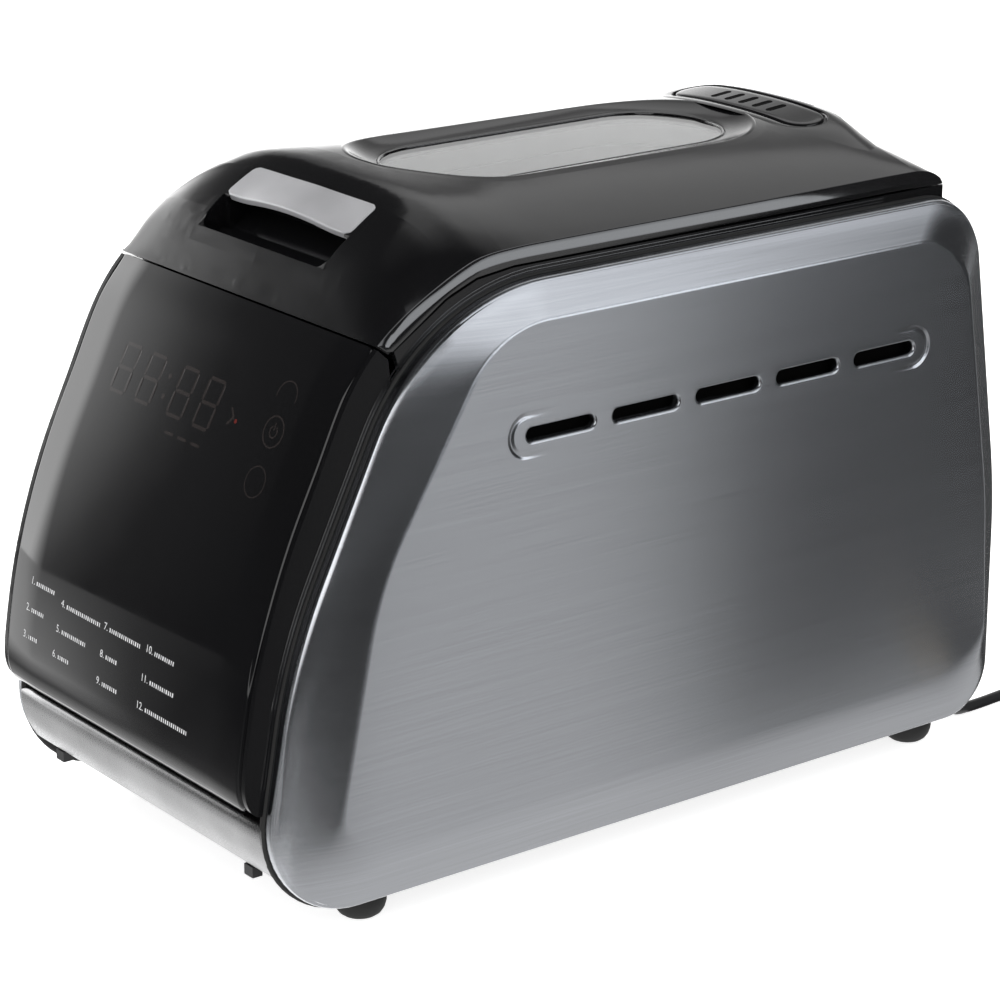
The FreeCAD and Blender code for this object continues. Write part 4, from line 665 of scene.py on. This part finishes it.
def handle_plate():
    nu, nv = 28, 12
    verts, faces = [], []
    layers = []
    for deep in (0.0, 3.2):
        rows = []
        for j in range(nv + 1):
            v = j / nv
            d = min(v, 1 - v) * 16.6
            cut = 3.0 - math.sqrt(max(0.0, 9.0 - (3.0 - d) ** 2)) if d < 3.0 else 0.0
            half = 43.6 + (42.4 - 43.6) * v - cut
            row = []
            for i in range(nu + 1):
                u = -1 + 2 * i / nu
                x = half * u
                y = -109.4 + 15.1 * v
                front = 269.8 - 3.6 * u * u
                rear = 277.2 - 3.9 * u * u
                z = front + (rear - front) * (v + 0.10 * math.sin(math.pi * v))
                flush = lid_height(x, y) + 0.35
                z = 0.5 * (z + flush + math.sqrt((z - flush) ** 2 + 0.25))
                row.append((x, y + 0.44 * deep, z - 0.9 * deep))
            rows.append(row)
        layers.append(rows)
    n = nu + 1
    for rows in layers:
        for row in rows:
            verts += row
    low = (nv + 1) * n
    for j in range(nv):
        for i in range(nu):
            a = j * n + i
            faces.append((a, a + 1, a + n + 1, a + n))
            faces.append((low + a, low + a + n, low + a + n + 1, low + a + 1))
    rim = [i for i in range(n)] + [j * n + nu for j in range(1, nv + 1)] + [nv * n + i for i in range(nu - 1, -1, -1)] + [j * n for j in range(nv - 1, 0, -1)]
    for a, b in zip(rim, rim[1:] + rim[:1]):
        faces.append((a, low + a, low + b, b))
    obj = mesh_object("handle_plate", verts, faces, PAINT, "lid", ("lid_handle",), 35)
    bev = rounded(obj, 0.55, 3, 50)
    bev.harden_normals = False
    return obj


handle_plate()


def lid_band(name, sign):
    """The polished edge along the lid's flank, leaning in a little towards its crest."""
    ys = [-129.5 + 290.0 * k / 96 for k in range(97)]
    sec = ((90.30, -0.30, 0), (90.55, -0.02, 0), (90.78, -0.50, 0), (91.35, 0.0, 0.5), (91.95, 1.0, 1), (91.85, 0.35, 1), (91.4, 0.1, 1), (90.6, 0.1, 1))
    verts, faces = [], []
    for y in ys:
        rear = soft((y - 144.0) / 10.0)
        top, low = smooth(CREST, y), parting(y) + 0.1 - 0.2 * rear
        for x, dz, at in sec:
            base = top if at == 0 else (low if at == 1 else (top + low) / 2)
            verts.append((x * sign, y, base + dz * (1 - 0.9 * rear if at == 1 else 1)))
    n = len(sec)
    for i in range(len(ys) - 1):
        for j in range(n - 1):
            a = i * n + j
            f = (a, a + n, a + n + 1, a + 1)
            faces.append(f if sign > 0 else tuple(reversed(f)))
    return mesh_object(name, verts, faces, BAND, "lid", (), 28)


def recess_corner(name, sign, radius=5.0):
    """Rounds off a front corner of the finger recess."""
    cx, cy = 44.2, -121.8
    rim = [(cx, cy)]
    for k in range(9):
        a = math.radians(-90 + 90 * k / 8)
        rim.append((cx - radius + radius * math.cos(a), cy + radius + radius * math.sin(a)))
    verts = []
    for deep in (0.05, 7.5):
        for x, y in rim:
            verts.append((sign * (x + (0.3 if (x, y) == rim[0] else 0.0)), y - (0.3 if (x, y) == rim[0] else 0.0), lid_height(x, y) - deep))
    n = len(rim)
    faces = [(0, i, i + 1) for i in range(1, n - 1)] + [(i, n + i, n + i + 1, i + 1) for i in range(1, n - 1)]
    if sign < 0:
        faces = [tuple(reversed(f)) for f in faces]
    return mesh_object(name, verts, faces, SATIN, "lid", (), 30)


recess_corner("recess_corner_right", 1)
recess_corner("recess_corner_left", -1)


def vent_top(x, y):
    """The vent's upper face: level with the lid at its front edge, standing clear of it behind."""
    return max(lid_height(x, y) + 0.3, lid_height(x, 122.4) + 0.5 + 0.09 * (y - 122.4))


def vent_cover():
    """The vent's cover in its moat, with the lid led up to it."""
    sec = ((7.0, 0.0, -0.1), (5.6, 0.4, 0.05), (4.2, 0.85, 0.05), (2.8, 1, 0.0), (2.1, 1, -0.05), (1.7, 1, -0.45), (1.4, 1, -1.4), (0.3, 1, -1.4), (0.1, 1, -0.45),
           (-0.25, 1, -0.05), (-0.8, 1, 0.1), (-3.0, 1, 0.1), (-6.0, 1, 0.1), (-8.6, 1, 0.1))
    rings = []
    for off, share, dz in sec:
        ring = []
        for (x, y), (bx, by) in zip(stadium(0.0, 132.0, 33.8, 9.6 + off, 14, 24), stadium(0.0, 132.0, 33.8, 12.4, 14, 24)):
            if off > 2.8:
                far = soft((by - 122.0) / 15.0)
                x, y = bx + (x - bx) * (1.0 + 5.5 * far), by + (y - by) * (1.0 + 1.8 * far)
            low = lid_height(x, y)
            ring.append((x, y, low + (vent_top(x, y) - low) * share + dz))
        rings.append(ring)
    n = len(rings[0])
    verts = [p for ring in rings for p in ring]
    faces = bands(rings, 0)
    last = (len(rings) - 1) * n
    faces += [(last + 15 + k, last + 16 + k, last + 76 - k, last + 77 - k) for k in range(23)]
    faces += [tuple([last + 77] + [last + k for k in range(16)]), tuple(last + k for k in range(38, 55))]
    return mesh_object("vent_cover", verts, faces, SATIN, "lid", ("vent_grille",), 40)


def vent_slot_painted_shade():
    """Painted shade: near-black pads a hair proud of the cover, where the vent's five slots show dark; the slots
    themselves are not cut.
    """
    verts, faces = [], []
    for x0 in (-18.0, -9.0, 0.0, 9.0, 18.0):
        rings = []
        for r, dz in ((1.7, 0.05), (1.55, 0.22), (1.2, 0.16)):
            rings.append([(x, y, vent_top(x, y) + dz) for y, x in stadium(132.0, x0, 3.8, r, 8)])
        base, n = len(verts), len(rings[0])
        verts += [p for ring in rings for p in ring]
        faces += [tuple(reversed(f)) for f in bands(rings, base)]
        faces.append(tuple(base + 3 * n - 1 - i for i in range(n)))
    return mesh_object("vent_slots_painted_shade", verts, faces, SLOT_SHADE, "lid", (), 40)


vent_cover()
vent_slot_painted_shade()
lid_band("lid_band_right", 1)
lid_band("lid_band_left", -1)


def window_line(off, n=22, m=14):
    """Points (x, y) round the window, off millimetres outside the edge of its glass."""
    r = 39.2 + off

    def quarter(cx, cy, start):
        return [(cx + r * math.cos(math.radians(start + 90 * k / n)), cy + r * math.sin(math.radians(start + 90 * k / n))) for k in range(n + 1)]

    near = [(2.3 + r, -24.8 + 99.6 * k / m) for k in range(1, m)]
    far = [(-2.3 - r, 74.8 - 99.6 * k / m) for k in range(1, m)]
    return quarter(2.3, -24.8, -90) + near + quarter(2.3, 74.8, 0) + quarter(-2.3, 74.8, 90) + far + quarter(-2.3, -24.8, 180)


def window_surround():
    """The sloping surround that leads down from the lid's top to the glass."""
    steps = ((1.5, -0.06), (1.0, 0.16), (0.4, 0.22), (-0.3, 0.02), (-0.9, -0.35))
    mouth = []
    for x, y in window_line(4.5):
        z = lid_height(x, y)
        mouth.append(1.2 + 6.3 * (z - 274.2) / 12.8)
    rings = []
    lips = [window_line(0.0), window_line(1.0)]
    unit = [(b[0] - a[0], b[1] - a[1]) for a, b in zip(*lips)]
    for off, dz in steps:
        ring = []
        for (x, y), (ux, uy), c in zip(lips[0], unit, mouth):
            px, py = x + ux * (c + off), y + uy * (c + off)
            ring.append((px, py, lid_height(px, py) + dz))
        rings.append(ring)
    rim = rings[-1]
    for k in range(1, 8):
        ring = []
        for (x, y), (ux, uy), (rx, ry, rz), c in zip(lips[0], unit, rim, mouth):
            t = k / 7
            o = (c - 0.9) * (1 - t) + (-6.9) * t
            ring.append((x + ux * o, y + uy * o, rz + (277.25 - rz) * (t + 0.12 * math.sin(math.pi * t))))
        rings.append(ring)
    for o, z in ((-7.25, 277.12), (-7.45, 276.95), (-7.5, 276.62)):
        rings.append([(x + ux * o, y + uy * o, z) for (x, y), (ux, uy) in zip(lips[0], unit)])
    verts = [p for ring in rings for p in ring]
    mesh_object("window_surround", verts, bands(rings, 0), SATIN, "lid", (), 45)
    bead = []
    for k in range(9):
        a = math.radians(-20 + 220 * k / 8)
        o, z = -8.15 + 0.55 * math.cos(a), 276.85 + 0.45 * math.sin(a)
        bead.append([(x + ux * o, y + uy * o, z) for (x, y), (ux, uy) in zip(lips[0], unit)])
    mesh_object("window_bead", [p for ring in bead for p in ring], bands(bead, 0), BAND, "lid", (), 60)


window_surround()


# ---------------------------------------------------------------- feet
def domed_feet():
    """Four rubber feet, turned, with a well rounded sole."""
    sec = ((0.0, 0.9), (2.6, 0.9), (3.0, 0.0), (5.4, 0.0), (7.2, 0.5), (8.8, 1.7), (10.0, 3.6), (10.7, 6.0), (10.9, 8.6), (10.4, 10.6), (9.6, 12.4))
    verts, faces = [], []
    n = 40
    for sx in (-1, 1):
        for fy in FOOT_Y:
            base = len(verts)
            verts.append((sx * FOOT_X, fy, sec[0][1]))
            for r, z in sec[1:]:
                verts += [(sx * FOOT_X + r * math.cos(2 * math.pi * k / n), fy + r * math.sin(2 * math.pi * k / n), z) for k in range(n)]
            for k in range(n):
                faces.append((base, base + 1 + (k + 1) % n, base + 1 + k))
            for j in range(len(sec) - 2):
                for k in range(n):
                    a, b = base + 1 + j * n + k, base + 1 + j * n + (k + 1) % n
                    faces.append((a, b, b + n, a + n))
    return mesh_object("domed_feet", verts, faces, RUBBER, "housing", ("rubber_feet",), 40)


FOOT_X, FOOT_Y = 76.0, (-131.0, 168.0)
domed_feet()


# ---------------------------------------------------------------- marks on the panel
def ink(name, tone, rough=0.42):
    k = Mat(name)
    k.set(Specular_IOR_Level=0.5)
    k.to(k.tones(k.noise((700.0, 700.0, 700.0), 2.0, 0.5), [c * 0.92 for c in tone], tone), "Base Color")
    k.to(k.spread(k.noise((300.0, 300.0, 300.0), 2.0, 0.5), rough * 0.9, rough * 1.1), "Roughness")
    return k.m


PRINT = ink("print_white", (0.62, 0.62, 0.63))
GHOST = ink("display_ghost", (0.021, 0.0175, 0.017), 0.045)
REDDOT = ink("print_red", (0.10, 0.012, 0.010), 0.1)
marks = {"print": ([], []), "ghost": ([], []), "red": ([], [])}


def put(group, pts, polys, lift=0.05):
    vs, fs = marks[group]
    base = len(vs)
    vs += [on_panel(x, s, lift) for x, s in pts]
    fs += [tuple(base + i for i in p) for p in polys]


def bar(group, x0, s0, x1, s1, w, lift=0.05):
    d = Vector((x1 - x0, s1 - s0)).normalized()
    q = Vector((-d.y, d.x)) * (w / 2)
    e = d * (w / 2)
    a, b = Vector((x0, s0)), Vector((x1, s1))
    put(group, [tuple(p) for p in (a - e, a + q, b + q, b + e, b - q, a - q)], [(5, 4, 3, 2, 1, 0)], lift)


def ring(group, x, s, r, w, a0=0.0, a1=360.0, n=40, lift=0.05):
    pts, polys = [], []
    for k in range(n + 1):
        a = math.radians(a0 + (a1 - a0) * k / n)
        pts += [(x + (r + w / 2) * math.cos(a), s + (r + w / 2) * math.sin(a)), (x + (r - w / 2) * math.cos(a), s + (r - w / 2) * math.sin(a))]
    for k in range(n):
        polys.append((2 * k, 2 * k + 1, 2 * k + 3, 2 * k + 2))
    put(group, pts, polys, lift)


def word(group, text, x, s, height):
    """Numerals, laid flat on the panel's face; x is the left end, s the foot of the figures."""
    c = bpy.data.curves.new("figures", "FONT")
    c.body = text
    c.size = height / 0.7
    c.resolution_u = 3
    t = link(bpy.data.objects.new("figures", c))
    bpy.context.view_layer.update()
    me = bpy.data.meshes.new_from_object(t.evaluated_get(bpy.context.evaluated_depsgraph_get()))
    put(group, [(x + v.co.x, s - v.co.y) for v in me.vertices], [tuple(p.vertices) for p in me.polygons])
    wide = max((v.co.x for v in me.vertices), default=0.0)
    bpy.data.objects.remove(t)
    bpy.data.curves.remove(c)
    bpy.data.meshes.remove(me)
    return wide


PROGRAMS = [("1.", -74.0, 141.6, 15.5), ("2.", -75.2, 153.2, 10.5), ("3.", -75.4, 164.8, 7.2), ("4.", -49.0, 144.4, 27.0), ("5.", -50.4, 155.4, 19.5), ("6.", -51.4, 166.2, 8.8),
            ("7.", -15.6, 144.2, 24.5), ("8.", -15.9, 155.6, 9.6), ("9.", -16.6, 167.0, 11.5), ("10.", 16.0, 144.0, 17.5), ("11.", 15.2, 156.0, 20.0), ("12.", 13.9, 167.6, 33.0)]
BLOCKS = (0.8, 0.55, 0.9, 0.6, 0.75, 0.85, 0.5, 0.9)
for label, x, s, long in PROGRAMS:
    at, end = x + word("print", label, x, s, 3.1) + 1.5, x + 3.5 + long
    k = len(label) + int(abs(s))
    while at < end:
        wide = BLOCKS[k % 8]
        put("print", [(at, s), (at + wide, s), (at + wide, s - 1.75), (at, s - 1.75)], [(0, 1, 2, 3)])
        at += wide + 0.75
        k += 1


def digit(x, s, w, h, lean, t=1.5):
    """The seven unlit segments of one figure."""
    def at(u, v):
        return x + u * w + lean * (1 - v), s + v * h
    g = 0.06
    for (u0, v0), (u1, v1) in (((g, 0), (1 - g, 0)), ((g, .5), (1 - g, .5)), ((g, 1), (1 - g, 1)), ((0, g), (0, .5 - g)), ((1, g), (1, .5 - g)), ((0, .5 + g), (0, 1 - g)), ((1, .5 + g), (1, 1 - g))):
        a, b = at(u0, v0), at(u1, v1)
        bar("ghost", a[0], a[1], b[0], b[1], t)


for x in (-57.0, -38.0, -14.0, 5.0):
    digit(x, 33.6, 10.5, 20.0, 2.0)
for v in (39.5, 48.0):
    ring("ghost", -19.8, v, 0.6, 1.2, n=16)
for k in range(3):
    bar("ghost", -10.0 + 9.5 * k, 60.6, -4.6 + 9.5 * k, 60.6, 1.3)
bar("ghost", 26.6, 41.4, 29.4, 44.6, 1.2)
bar("ghost", 29.4, 44.6, 26.6, 47.8, 1.2)
ring("ghost", 56.5, 43.7, 6.2, 0.7)
ring("ghost", 56.5, 43.7, 2.3, 0.7, -60, 240)
bar("ghost", 56.5, 40.2, 56.5, 43.2, 0.7)
ring("ghost", 56.8, 29.4, 6.2, 0.6, 170, 370)
ring("ghost", 56.5, 64.0, 6.2, 0.5)
ring("red", 31.4, 45.7, 0.45, 0.9, n=16)
for key, (group, mat) in {"panel_figures": ("print", PRINT), "panel_display": ("ghost", GHOST), "panel_lamp": ("red", REDDOT)}.items():
    vs, fs = marks[group]
    mesh_object(key, vs, fs, mat, "housing", ())

# ---------------------------------------------------------------- mains lead
LEAD_POINTS = [
    (0.0720, 0.196583, 0.007028), (0.0720, 0.201170, 0.003816), (0.0718, 0.2076, 0.0031), (0.0710, 0.2196, 0.0026),
    (0.0700, 0.2330, 0.0026), (0.0698, 0.2490, 0.0026), (0.0710, 0.2660, 0.0026), (0.0738, 0.2856, 0.0026), (0.0760, 0.3040, 0.0026),
]
# the turns of the tied coil: (degrees wound so far, radius, height), in millimetres
LANES = [(0, 28.0, 2.6), (330, 28.0, 2.6), (392, 22.9, 2.6), (690, 22.9, 2.6), (762, 25.45, 7.05), (1050, 25.45, 7.05), (1112, 30.55, 7.05),
         (1390, 30.55, 7.05), (1430, 32.9, 6.2), (1482, 33.2, 2.6), (1620, 33.2, 2.6)]


def lane(turned):
    for (a, r0, z0), (b, r1, z1) in zip(LANES, LANES[1:]):
        if turned <= b:
            k = (turned - a) / (b - a)
            k = k * k * (3 - 2 * k)
            return r0 + (r1 - r0) * k, z0 + (z1 - z0) * k
    return LANES[-1][1:]


STEP = 20
for turned in range(STEP, 1620 + 1, STEP):
    r, z = lane(turned)
    r /= math.cos(math.radians(STEP / 2)) ** 0.5
    a = math.radians(180 - turned)
    LEAD_POINTS.append((0.104 + r * MM * math.cos(a), 0.304 + r * MM * math.sin(a), z * MM))
LEAD_POINTS += [(0.1374, 0.2965, 0.0028), (0.1386, 0.2890, 0.0044), (0.1412, 0.2822, 0.0076), (0.1449, 0.2762, 0.0104), (0.1494, 0.2706, 0.0116), (0.1534, 0.2662, 0.0116)]
curve = bpy.data.curves.new("power_lead", "CURVE")
curve.dimensions = "3D"
spline = curve.splines.new("NURBS")
spline.points.add(len(LEAD_POINTS) - 1)
for p, c in zip(spline.points, LEAD_POINTS):
    p.co = (*c, 1.0)
spline.order_u = 3
spline.use_endpoint_u = True
spline.resolution_u = 8
curve.bevel_depth = 0.0025
curve.bevel_resolution = 6
curve.use_fill_caps = True
lead = link(bpy.data.objects.new("power_lead", curve))
finish_piece(lead, LEAD, "housing", ("power_cord", "power_cord_coil", "power_cord_tail"))

def coil_tie(at=70.0, wide=7.0):
    """A flat strap round the coil's turns, lying flat under them."""
    turns = [(22.9, 2.6), (28.0, 2.6), (33.2, 2.6), (30.55, 7.05), (25.45, 7.05)]
    line = []
    for k in range(72):
        a = 2 * math.pi * k / 72
        c, sn = math.cos(a), math.sin(a)
        line.append(max(turns, key=lambda t: t[0] * c + t[1] * sn) + (c, sn))
    rings = []
    for along, thick in ((-wide / 2, 2.55), (-wide / 2, 2.85), (-wide / 2 + 0.5, 3.25), (wide / 2 - 0.5, 3.25), (wide / 2, 2.85), (wide / 2, 2.55)):
        ring = []
        for r0, z0, c, sn in line:
            r, z = r0 + thick * c, max(0.03, z0 + thick * sn)
            q = math.radians(at)
            ring.append((104.0 + r * math.cos(q) - along * math.sin(q), 304.0 + r * math.sin(q) + along * math.cos(q), z))
        rings.append(ring)
    verts = [p for ring in rings for p in ring]
    return mesh_object("coil_tie", verts, bands(rings, 0), RUBBER, "housing", (), 40)


tie = coil_tie()

# ---------------------------------------------------------------- floor, light
floor_me = bpy.data.meshes.new("floor")
floor_me.from_pydata([(-9, -9, 0), (9, -9, 0), (9, 9, 0), (-9, 9, 0)], [], [(0, 1, 2, 3)])
floor = link(bpy.data.objects.new("floor", floor_me))
m = Mat("floor_paper")
m.set(Specular_IOR_Level=0.1)
m.to(m.tones(m.noise((40.0, 40.0, 40.0), 2.0, 0.5), (0.86, 0.86, 0.86), (0.88, 0.88, 0.88)), "Base Color")
m.to(m.spread(m.noise((40.0, 40.0, 40.0), 2.0, 0.5), 0.85, 0.95), "Roughness")
m.set(Emission_Color=(1, 1, 1, 1), Emission_Strength=0.80)
floor_me.materials.append(m.m)

world = bpy.data.worlds.new("studio")
scene.world = world
world.use_nodes = True
bg = world.node_tree.nodes["Background"]
bg.inputs["Color"].default_value = (0.97, 0.985, 1.0, 1)
bg.inputs["Strength"].default_value = 0.04


def card(name, corners, paint):
    """A studio card seen in reflections only; paint builds its brightness from its own coordinates."""
    me = bpy.data.meshes.new(name)
    me.from_pydata(corners, [], [(0, 1, 2, 3)])
    o = link(bpy.data.objects.new(name, me))
    k = Mat(name)
    k.set(Base_Color=(0, 0, 0, 1), Specular_IOR_Level=0.0, Roughness=1.0, Emission_Color=(1, 1, 1, 1))
    paint(k)
    me.materials.append(k.m)
    o.visible_camera = o.visible_diffuse = o.visible_shadow = False
    return o


def axis(k, name):
    """One of the card's own coordinates, in metres."""
    if k.co is None:
        k.co = k.node("ShaderNodeTexCoord")
    sp = k.node("ShaderNodeSeparateXYZ")
    k.wire(k.co.outputs["Object"], sp.inputs[0])
    return sp.outputs[name]


def maths(k, op, a, b):
    n = k.node("ShaderNodeMath", operation=op)
    for i, v in enumerate((a, b)):
        if isinstance(v, (int, float)):
            n.inputs[i].default_value = v
        else:
            k.wire(v, n.inputs[i])
    return n.outputs[0]


def levels(k, value, stops):
    """Brightness read off a list of (place, level)."""
    lo, hi = stops[0][0], stops[-1][0]
    top = max(v for _, v in stops)
    c = k.node("ShaderNodeValToRGB")
    c.color_ramp.interpolation = "LINEAR"
    el = c.color_ramp.elements
    while len(el) < len(stops):
        el.new(0.5)
    for e, (at, v) in zip(el, stops):
        e.position = (at - lo) / (hi - lo)
        e.color = (v / top, v / top, v / top, 1)
    k.wire(k.spread(value, 0.0, 1.0, lo, hi), c.inputs["Fac"])
    return maths(k, "MULTIPLY", c.outputs["Color"], top)


def flat(level):
    def paint(k):
        k.set(Emission_Strength=level)
    return paint


def upright(x0, y0, x1, y1, z0, z1):
    return [(x0, y0, z0), (x1, y1, z0), (x1, y1, z1), (x0, y0, z1)]


def ground(x0, y0, x1, y1, z=0.0006):
    return [(x0, y0, z), (x1, y0, z), (x1, y1, z), (x0, y1, z)]


def right_ground(k):
    x, y = axis(k, "X"), axis(k, "Y")
    s = maths(k, "DIVIDE", maths(k, "ADD", y, 0.832), maths(k, "ADD", x, 0.877))
    across = levels(k, s, [(0.30, 0.02), (0.62, 0.03), (0.67, 0.28), (0.70, 0.47), (0.80, 0.43), (0.84, 0.33), (0.87, 0.17), (0.895, 0.04), (0.935, 0.01), (0.98, 0.035), (1.15, 0.03)])
    near = levels(k, x, [(0.09, 0.56), (0.125, 0.52), (0.165, 0.34),  (0.22, 0.10), (0.36, 0.03), (0.6, 0.0)])
    across = maths(k, "MULTIPLY", across, levels(k, x, [(0.09, 0.12), (0.14, 0.35), (0.24, 1.0), (0.5, 1.0)]))
    k.to(maths(k, "ADD", across, near), "Emission Strength")


def left_ground(k):
    ahead = levels(k, axis(k, "Y"), [(-3.2, 0.05), (-0.7, 0.08), (-0.35, 0.22), (-0.28, 0.30), (-0.24, 0.8), (-0.186, 1.4)])
    front = maths(k, "MULTIPLY", ahead, levels(k, axis(k, "X"), [(-3.0, 0.4), (-0.3, 0.45), (-0.12, 0.75), (0.0, 1.0), (0.4, 1.0)]))
    q = maths(k, "DIVIDE", maths(k, "ADD", axis(k, "Y"), 0.187), maths(k, "MINIMUM", axis(k, "X"), -0.01))
    away = maths(k, "MULTIPLY", levels(k, q, [(0.2, 2.2), (0.50, 1.9), (0.58, 1.3), (0.66, 0.65), (0.74, 0.22), (0.85, 0.04), (1.2, 0.0)]),
                 levels(k, axis(k, "Y"), [(-3.2, 1.0), (-0.34, 1.0), (-0.26, 0.0), (-0.186, 0.0)]))
    k.to(maths(k, "ADD", front, away), "Emission Strength")


def left_wall(k):
    y = maths(k, "DIVIDE", maths(k, "ADD", axis(k, "Y"), 0.30), 0.66)
    z = maths(k, "DIVIDE", maths(k, "ADD", axis(k, "Z"), -0.20), 0.76)
    far = maths(k, "SQRT", maths(k, "ADD", maths(k, "MULTIPLY", y, y), maths(k, "MULTIPLY", z, z)), 0.0)
    k.to(levels(k, far, [(0.0, 2.0), (0.70, 3.4), (0.80, 3.6), (0.86, 2.9), (0.90, 2.1), (0.96, 1.2), (1.0, 0.75), (1.04, 0.35), (1.10, 0.12), (1.3, 0.04)]), "Emission Strength")


def side_box(k):
    k.set(Emission_Color=(0.93, 0.96, 1.0, 1))
    k.to(levels(k, axis(k, "Z"), [(0.20, 1.6), (0.28, 2.3), (0.56, 2.3), (0.66, 1.2)]), "Emission Strength")


def upper_box(k):
    k.set(Emission_Color=(0.95, 0.97, 1.0, 1))
    rise = levels(k, axis(k, "Z"), [(0.85, 0.3), (1.0, 1.0), (1.8, 1.0), (2.0, 0.5)])
    k.to(maths(k, "MULTIPLY", rise, levels(k, axis(k, "Y"), [(-0.20, 1.0), (0.3, 1.4), (1.16, 1.35), (1.36, 0.5), (1.62, 0.02)])), "Emission Strength")


def back_paper(k):
    z = axis(k, "Z")
    k.to(levels(k, z, [(0.0, 2.6), (0.30, 2.2), (0.5, 1.5), (0.7, 1.0), (1.0, 0.5), (1.4, 0.2)]), "Emission Strength")


def ceiling(k):
    across = levels(k, axis(k, "X"), [(-2.4, 0.4), (-1.6, 1.0), (-0.6, 1.0), (0.3, 0.1)])
    k.to(maths(k, "MULTIPLY", across, levels(k, axis(k, "Y"), [(-0.6, 0.03), (0.0, 0.12), (0.35, 0.6), (0.7, 1.0), (2.0, 1.0), (2.4, 0.6)])), "Emission Strength")


card("ground_right", ground(0.09, -2.6, 8.8, 8.8), right_ground)
card("ground_back", ground(-1.6, 0.21, 0.09, 3.2), flat(0.07))
card("ground_left", ground(-3.0, -3.2, 0.4, -0.186), left_ground)
card("wall_left", upright(-1.2, -1.7, -1.2, 0.35, 0.0, 1.9), left_wall)
card("box_right", upright(1.76, 0.32, 1.20, 1.08, 0.20, 0.66), side_box)
card("box_upper", upright(1.90, -0.20, 0.86, 1.62, 0.85, 2.0), upper_box)
card("paper_back", upright(-2.4, 0.2, -0.6, 2.2, 0.0, 1.4), back_paper)
card("ceiling", ground(-2.4, -0.6, 0.3, 2.4, 1.75), ceiling)
card("strip_front", upright(1.30, -1.82, 2.05, -0.98, 0.1, 1.3), flat(2.0))

sun = bpy.data.lights.new("sky", "SUN")
sun.energy = 3.6
sun.angle = math.radians(130)
sky = link(bpy.data.objects.new("sky", sun))
aim(sky, (0.3, -0.5, 3.0), (0.0, 0.0, 0.0))
sky.visible_glossy = False
sky.visible_camera = False

scene.view_settings.view_transform = "Standard"
